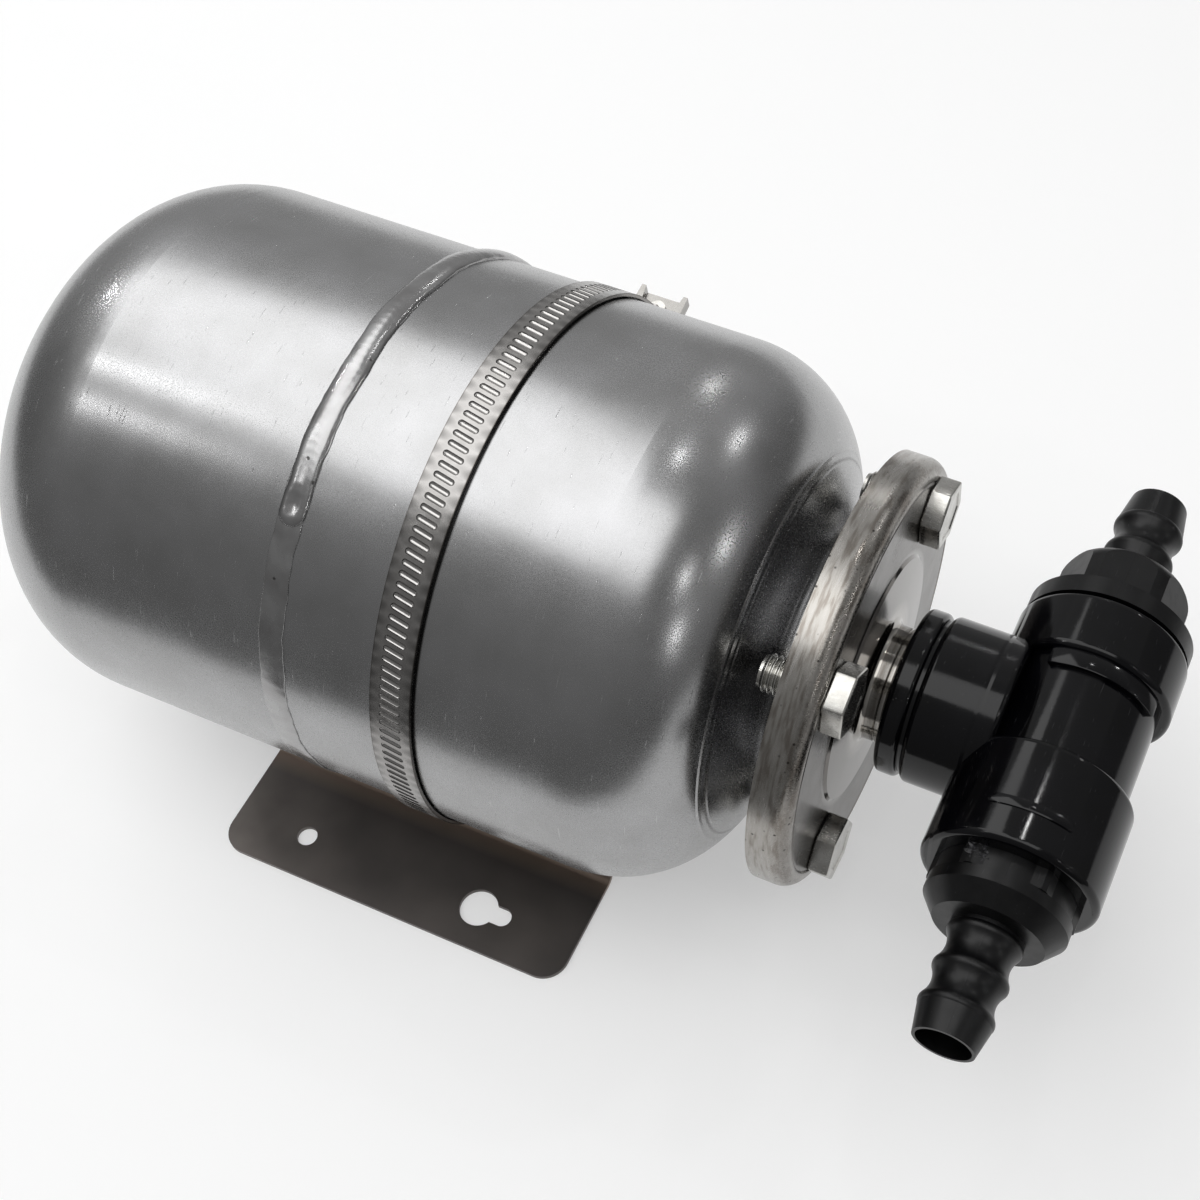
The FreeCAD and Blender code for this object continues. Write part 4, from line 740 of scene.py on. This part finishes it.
start_alone()
bpy.ops.mesh.primitive_cylinder_add(vertices=32, radius=THREAD_RADIUS * MM, depth=0.4 * MM,
                                    location=(0.4 * MM, 0, 0), rotation=(0, math.radians(90), 0))
shank = bpy.context.active_object
bpy.ops.object.transform_apply(location=True, rotation=True, scale=True)
take_up(shank)
pick(shank, "faces", lambda f: f.normal.x < -0.99)
root = THREAD_ROOT / THREAD_RADIUS
plain = BOLT_LENGTH - THREAD_PITCH * THREAD_COUNT + 0.2
grow(plain, 1.0)
for turn in range(THREAD_COUNT - 1):
    grow(THREAD_PITCH * 0.40, root)
    grow(THREAD_PITCH * 0.10, 1.0)
    grow(THREAD_PITCH * 0.40, 1.0 / root)
    grow(THREAD_PITCH * 0.10, 1.0)
grow(THREAD_PITCH * 0.5, root)
grow(THREAD_PITCH * 0.5, 0.96)
bpy.ops.object.mode_set(mode="OBJECT")
start_alone()
shank.select_set(True)
bolt.select_set(True)
bpy.context.view_layer.objects.active = bolt
bpy.ops.object.join()
print("bolt reaches back", round(-min(v.co.x for v in bolt.data.vertices) / MM, 2), "mm")

# %% Four bolts
BOLT_CIRCLE_RADIUS = 37.3
BOLT_FIRST_DEG = 51.0
BOLT_TURNS_DEG = (20.6, 35.1, 40.0, 51.9)
for index, turn in enumerate(BOLT_TURNS_DEG):
    copy = bpy.data.objects.new("flange_bolt_" + str(index + 1), bolt.data.copy())
    bpy.context.scene.collection.objects.link(copy)
    copy.rotation_euler = (math.radians(turn), 0, 0)
    copy.location = round_the_tank(COVER_SEAT_X, BOLT_CIRCLE_RADIUS, BOLT_FIRST_DEG + 90 * index)
    settle(copy, copy.name, bolt_steel, BOLT_SMOOTH_DEG)
    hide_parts("flange_bolts")
bpy.data.objects.remove(bolt)

# %% [markdown]
# ## Ribs and the gate scar on the tee
#
# The mould put a raised rib under the upper socket's edge, where it meets the
# branch, and a short one on the lower socket. Each is a small rounded bar
# bent round the run, so its section is spun through the arc that the
# photograph shows, and a bevel rounds its edges.

# %% Two moulded ribs
RIB_EDGE = 0.25


def run_rib(name, y_from, y_to, radius, depth, from_deg, to_deg):
    """A bar round the tee's run between two angles, its edges bevelled."""
    start_alone()
    bpy.ops.mesh.primitive_plane_add(size=1.0, location=(0, 0, 0))
    rib = bpy.context.active_object
    take_up(rib)
    bpy.ops.transform.resize(value=(depth * MM, (y_to - y_from) * MM, 1.0))
    bpy.ops.object.mode_set(mode="OBJECT")
    rib.location = round_the_run((y_from + y_to) / 2, radius - depth / 2, from_deg)
    rib.rotation_euler = (0, -math.radians(from_deg), 0)
    bpy.ops.object.transform_apply(location=True, rotation=True, scale=True)
    take_up(rib)
    bpy.ops.mesh.select_all(action="SELECT")
    bpy.ops.mesh.spin(steps=28, angle=math.radians(to_deg - from_deg),
                      center=at(TEE_X), axis=(0, 1, 0))
    bpy.ops.mesh.select_all(action="SELECT")
    bpy.ops.mesh.remove_doubles(threshold=MERGE_WITHIN)
    bpy.ops.object.mode_set(mode="OBJECT")
    soften = rib.modifiers.new("rounded edges", "BEVEL")
    soften.width = RIB_EDGE * MM
    soften.segments = 2
    soften.limit_method = "ANGLE"
    bpy.ops.object.modifier_apply(modifier=soften.name)
    settle(rib, name, gloss_black, 40.0)


run_rib("upper_socket_rib", y_from=8.4, y_to=12.8, radius=17.5, depth=2.0,
        from_deg=30.0, to_deg=118.0)
run_rib("lower_socket_rib", y_from=-26.6, y_to=-24.4, radius=19.0, depth=1.2,
        from_deg=62.0, to_deg=116.0)

# %% [markdown]
# The plastic was fed in through a gate on one flat of the lower tail's
# hexagon. Snapping the feed off leaves a torn patch of thin curled flakes.
# It starts as a disc of stepped rings, and then each corner is moved a little
# up, down or outwards, which looks torn. It lies on the flat, near the end
# that the photograph shows.

# %% The gate scar
SCAR_Y = -35.4
SCAR_FLAT_DEG = 94.0
SCAR_DEG = 114.0
SCAR_RADIUS = 2.6
SCAR_SEAT = 14.45
SCAR_STRETCH_X = 1.15
SCAR_STRETCH_Y = 0.85
SCAR_CURL = 0.16
SCAR_RING_WIDTH = 0.5
SCAR_RING_STEPS = (0.28, -0.16)
SCAR_THICKNESS = 0.6
start_alone()
bpy.ops.mesh.primitive_circle_add(vertices=28, radius=SCAR_RADIUS * MM, fill_type="NGON",
                                  location=(0, 0, 0))
scar = bpy.context.active_object
take_up(scar)
bpy.ops.mesh.select_all(action="SELECT")
for ring in range(5):
    bpy.ops.mesh.inset(thickness=SCAR_RING_WIDTH * MM, depth=SCAR_RING_STEPS[ring % 2] * MM)
bpy.ops.object.mode_set(mode="OBJECT")
for index, corner in enumerate(scar.data.vertices):
    bend = math.sin(index * 2.4) + 0.6 * math.sin(index * 5.1 + 1.0)
    reach = 1.0 + 0.18 * math.sin(index * 1.7)
    corner.co = Vector((corner.co.x * reach * SCAR_STRETCH_X, corner.co.y * reach * SCAR_STRETCH_Y,
                        corner.co.z + SCAR_CURL * MM * bend))
scar.rotation_euler = (0, math.radians(90 - SCAR_FLAT_DEG), 0)
scar.location = round_the_run(SCAR_Y, SCAR_SEAT, SCAR_DEG)
thick = scar.modifiers.new("thickness", "SOLIDIFY")
thick.thickness = SCAR_THICKNESS * MM
bpy.ops.object.modifier_apply(modifier=thick.name)
torn_black = black_nylon("torn black nylon", ("121213", "343437"), (0.26, 0.40), 0.8)
settle(scar, "gate_scar", torn_black, 25.0)

# %% [markdown]
# ## The valve cap
#
# The air valve at the rear end wears a push-on cap of black plastic with
# ribs for the fingers. A cylinder with many sides is the start: every second
# side is picked and drawn in, which leaves ribs, and the end is rounded by a
# few shrinking extrusions.

# %% A ribbed cap
CAP_RIBS = 24
cap_low, cap_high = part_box("valve_cap")
cap_radius = (cap_high.y - cap_low.y) / 2
cap_length = cap_high.x - cap_low.x
CAP_HOLLOW = 3.95
CAP_END_WALL = 2.0
CAP_RIB_DEPTH = 0.35
CAP_SHRINK = 0.985
CAP_SIDE_DEG = 360.0 / (2 * CAP_RIBS)


def between_ribs(face):
    """True for every second one of the cap's long sides."""
    turn = math.degrees(math.atan2(face.normal.z, face.normal.y)) % 360
    return (abs(face.normal.x) < 0.1 and face.calc_area() > 4 * MM * MM
            and int(round(turn / CAP_SIDE_DEG - 0.5)) % 2 == 0)


start_alone()
bpy.ops.mesh.primitive_cylinder_add(vertices=2 * CAP_RIBS, radius=cap_radius * CAP_SHRINK,
                                    depth=cap_length,
                                    location=((cap_low.x + cap_high.x) / 2, 0, AXIS_HEIGHT * MM),
                                    rotation=(0, math.radians(90), 0))
cap = bpy.context.active_object
bpy.ops.object.transform_apply(location=True, rotation=True, scale=True)
take_up(cap)
pick(cap, "faces", lambda f: f.normal.x < -0.9)
for step, size in ((0.0, 0.93), (0.5, 0.97), (0.3, 0.93)):
    bpy.ops.mesh.extrude_region_move(TRANSFORM_OT_translate={"value": (-step * MM, 0, 0)})
    bpy.ops.transform.resize(value=(1.0, size, size))
pick(cap, "faces", between_ribs)
bpy.ops.mesh.inset(thickness=0.10 * MM, depth=-CAP_RIB_DEPTH * MM, use_individual=True)
pick(cap, "faces", lambda f: f.normal.x > 0.9)
bpy.ops.mesh.extrude_region_move(TRANSFORM_OT_translate={"value": (0, 0, 0)})
bpy.ops.transform.resize(value=(1.0, CAP_HOLLOW * MM / cap_radius, CAP_HOLLOW * MM / cap_radius))
bpy.ops.mesh.extrude_region_move(
    TRANSFORM_OT_translate={"value": (-(cap_length - CAP_END_WALL * MM), 0, 0)})
bpy.ops.object.mode_set(mode="OBJECT")
shift = cap_low.x - min(v.co.x for v in cap.data.vertices)
for corner in cap.data.vertices:
    if corner.co.x < cap_low.x:
        corner.co.x += shift
cap = settle(cap, "ribbed_valve_cap", satin_black, 30.0, body="cap")
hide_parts("valve_cap")
print("cap radius", round(cap_radius / MM, 2), "mm, length", round(cap_length / MM, 2), "mm")

# %% [markdown]
# ## The valve's spring
#
# Inside the air valve a fine coil holds the pin shut. A Screw modifier winds
# the wire's circle up the coil, which gives every turn at once. The coil has
# to shorten when the pin is pressed in; here it rides on the tank and gets a
# mesh of its own.

# %% A wound coil
WIRE_RADIUS = 0.15
WIRE_SIDES = 12
COIL_RADIUS = 1.0
COIL_TURNS = 6
spring_low, spring_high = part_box("valve_spring")
spring_length = (spring_high.x - spring_low.x) / MM
start_alone()
bpy.ops.mesh.primitive_circle_add(vertices=WIRE_SIDES, radius=WIRE_RADIUS * MM,
                                  location=(COIL_RADIUS * MM, 0, 0),
                                  rotation=(math.radians(90), 0, 0))
spring = bpy.context.active_object
bpy.ops.object.transform_apply(location=True, rotation=True, scale=True)
winding = spring.modifiers.new("winding", "SCREW")
winding.screw_offset = (spring_length - 2 * WIRE_RADIUS) / COIL_TURNS * MM
winding.iterations = COIL_TURNS
winding.steps = 24
bpy.ops.object.modifier_apply(modifier=winding.name)
take_up(spring)
bpy.ops.mesh.select_all(action="SELECT")
bpy.ops.mesh.fill_holes(sides=WIRE_SIDES)
bpy.ops.object.mode_set(mode="OBJECT")
spring.rotation_euler = (0, math.radians(90), 0)
spring.location = (spring_low.x + WIRE_RADIUS * MM, 0, AXIS_HEIGHT * MM)
spring = settle(spring, "coiled_spring", bolt_steel, 60.0)
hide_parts("valve_spring")
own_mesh(spring)

# %% [markdown]
# ## Floor
#
# A satin tank only looks right when it has something to mirror, and its
# underside mirrors the floor. The floor is plain white paper. A little of its
# brightness is its own, so that the picture's ground is white without more
# light on the object, and the shadow still falls on it.

# %% Floor
FLOOR_HALF = 4.0
FLOOR_GLOW = 0.37
start_alone()
bpy.ops.mesh.primitive_plane_add(size=2 * FLOOR_HALF, location=(0, 0, 0))
floor = bpy.context.active_object
floor.name = "floor"
paper, tree, shader = new_finish("white paper")
shader.inputs["Base Color"].default_value = colour("D2D2D2")
shader.inputs["Roughness"].default_value = 0.9
path = add(tree, "LightPath", {}, {})
seen = sum_up(tree, "MAXIMUM", path.outputs["Is Camera Ray"], path.outputs["Is Glossy Ray"])
seen = sum_up(tree, "MAXIMUM", seen, path.outputs["Is Transmission Ray"])
glow = add(tree, "Emission", {}, {"Color": (1, 1, 1, 1),
                                  "Strength": sum_up(tree, "MULTIPLY", seen, FLOOR_GLOW)})
both = add(tree, "AddShader", {}, {0: shader.outputs["BSDF"], 1: glow.outputs["Emission"]})
tree.links.new(both.outputs["Shader"], tree.nodes["Material Output"].inputs["Surface"])
floor.data.materials.append(paper)

# %% [markdown]
# ## Lamps
#
# Two wide softboxes hang over the object like the light panels of a workshop:
# a long one over the tank, turned a little against it, and one nearer to the
# camera over the tee. They give the long highlight on the upper side. A few
# small round lamps far off give the points of light that show how smooth a
# skin is.

# %% Lamps
SOFTBOX_HEIGHT = 1.15
PANEL_RADIANCE = 2.05
SPOT_SIZE = 0.04


def panel(name, middle, size, turn_deg):
    """A rectangular lamp overhead that looks straight down."""
    lamp = bpy.data.lights.new(name, "AREA")
    lamp.shape = "RECTANGLE"
    lamp.size, lamp.size_y = size
    lamp.energy = PANEL_RADIANCE * math.pi * size[0] * size[1]
    made = bpy.data.objects.new(name, lamp)
    bpy.context.scene.collection.objects.link(made)
    made.location = (*middle, SOFTBOX_HEIGHT)
    made.rotation_euler = (0, 0, math.radians(turn_deg))
    print(name, "takes", round(lamp.energy, 1), "W")


def spot(name, place, power):
    """A small round lamp that looks at the tank."""
    lamp = bpy.data.lights.new(name, "AREA")
    lamp.shape = "DISK"
    lamp.size = SPOT_SIZE
    lamp.energy = power
    made = bpy.data.objects.new(name, lamp)
    bpy.context.scene.collection.objects.link(made)
    made.location = place
    made.rotation_euler = (at(0) - Vector(place)).to_track_quat("-Z", "Y").to_euler()


panel("softbox over the tank", middle=(-0.48, 0.07), size=(0.75, 1.6), turn_deg=30.5)
panel("softbox over the tee", middle=(0.29, -0.25), size=(0.62, 0.74), turn_deg=0.0)

SPOT_PLACES = [
    (0.163, 0.488, 1.10), (-0.745, -0.302, 1.10), (-0.87, -0.68, 1.10), (-1.27, 0.355, 1.10),
    (1.34, -0.27, 1.10), (0.90, 1.30, 1.10), (-0.20, 2.07, 1.10), (2.50, 0.53, 1.10),
    (2.60, -1.10, 1.10),
]
SPOT_POWER = 0.20
for index, place in enumerate(SPOT_PLACES):
    spot("small lamp " + str(index + 1), place, SPOT_POWER * Vector(place).length_squared)

# %% [markdown]
# ## Surround and world
#
# In a workshop a metal tank mirrors dark walls as well as lamps, and without
# them it looks like chalk. So a low wall of cloth stands round the object. It
# is dark on the camera's side and behind the tank, and paler beyond it. The
# wall is only there for reflections: the camera and the shadows pass through
# it. Each post of the wall has its own brightness, kept as an attribute of
# the mesh. The world above it is dim and grows brighter away from the camera.

# %% Surround
SURROUND = [
    (0.05, -0.175, 0.16), (0.20, -0.185, 0.14), (0.33, -0.210, 0.10), (0.60, -0.28, 0.14),
    (0.70, 0.0, 0.18), (0.68, 0.35, 0.12), (0.52, 0.50, 0.12), (0.30, 0.52, 0.16),
    (0.12, 0.46, 0.32), (-0.10, 0.44, 0.40), (-0.30, 0.43, 0.42), (-0.50, 0.38, 0.42),
    (-0.62, 0.22, 0.32), (-0.60, 0.08, 0.18), (-0.56, -0.05, 0.12), (-0.45, -0.16, 0.12),
    (-0.30, -0.170, 0.15), (-0.12, -0.170, 0.16),
]
SURROUND_HEIGHT = 0.42
SURROUND_FADE = 2.3
start_alone()
bpy.ops.mesh.primitive_circle_add(vertices=len(SURROUND), radius=0.5, location=(0, 0, 0))
surround = bpy.context.active_object
surround.name = "surround"
for vertex, (x, y, brightness) in zip(surround.data.vertices, SURROUND):
    vertex.co = (x, y, 0.002)
take_up(surround)
bpy.ops.mesh.select_all(action="SELECT")
bpy.ops.mesh.extrude_region_move(TRANSFORM_OT_translate={"value": (0, 0, SURROUND_HEIGHT)})
bpy.ops.object.mode_set(mode="OBJECT")
tones = surround.data.attributes.new("tone", "FLOAT", "POINT")
for index, item in enumerate(tones.data):
    brightness = SURROUND[index % len(SURROUND)][2]
    item.value = brightness if index < len(SURROUND) else min(0.5, brightness * SURROUND_FADE)
surround.visible_camera = False
surround.visible_shadow = False
surround.visible_diffuse = False
cloth, tree, shader = new_finish("studio cloth")
tone = add(tree, "Attribute", {"attribute_name": "tone"}, {})
lit = add(tree, "Emission", {}, {"Color": (1, 1, 1, 1), "Strength": tone.outputs["Fac"]})
tree.links.new(lit.outputs["Emission"], tree.nodes["Material Output"].inputs["Surface"])
surround.data.materials.append(cloth)

# %% World
LOOK_Y = 0.8
LOOK_X = 0.6
WORLD_DIM = 0.12
WORLD_BRIGHT = 0.60
world = bpy.data.worlds.new("studio")
bpy.context.scene.world = world
world.use_nodes = True
tree = world.node_tree
tree.nodes.clear()
where = add(tree, "TexCoord", {}, {})
parts = add(tree, "SeparateXYZ", {}, {"Vector": where.outputs["Generated"]})
# The camera looks towards +Y and -X, and the world is brightest that way.
ahead = sum_up(tree, "SUBTRACT", sum_up(tree, "MULTIPLY", parts.outputs["Y"], LOOK_Y),
               sum_up(tree, "MULTIPLY", parts.outputs["X"], LOOK_X))
dim = spread(tree, ahead, WORLD_DIM, WORLD_BRIGHT, -0.8, 1.0)
path = add(tree, "LightPath", {}, {})
seen = sum_up(tree, "MAXIMUM", dim, path.outputs["Is Camera Ray"])
sky = add(tree, "Background", {}, {"Color": (1, 1, 1, 1), "Strength": seen})
add(tree, "OutputWorld", {}, {"Surface": sky.outputs["Background"]})

# %% [markdown]
# ## Camera
#
# The camera looks down on the near side of the tank from over the tee. Its
# place, turn and lens were worked out from where the tank's rim, the bracket's
# corners and its holes lie in the photograph. The picture is the middle of a
# wider one that was cropped, so the lens is shifted a little.

# %% Camera
CAMERA_PLACE = (0.188702, -0.187649, 0.395714)
CAMERA_TURN = (0.9380203, 0.2787898, 0.0671440, 0.1946428)
SENSOR_WIDTH_MM = 36.0
LENS_MM = 54.43
LENS_SHIFT_X = -0.1453
LENS_SHIFT_Y = 0.0107
camera = bpy.data.cameras.new("camera")
camera.sensor_width = SENSOR_WIDTH_MM
camera.lens = LENS_MM
camera.shift_x = LENS_SHIFT_X
camera.shift_y = LENS_SHIFT_Y
camera.clip_start = 0.01
view = bpy.data.objects.new("camera", camera)
bpy.context.scene.collection.objects.link(view)
view.matrix_world = Matrix.Translation(CAMERA_PLACE) @ Quaternion(CAMERA_TURN).to_matrix().to_4x4()
bpy.context.scene.camera = view
bpy.context.scene.view_settings.view_transform = "Standard"
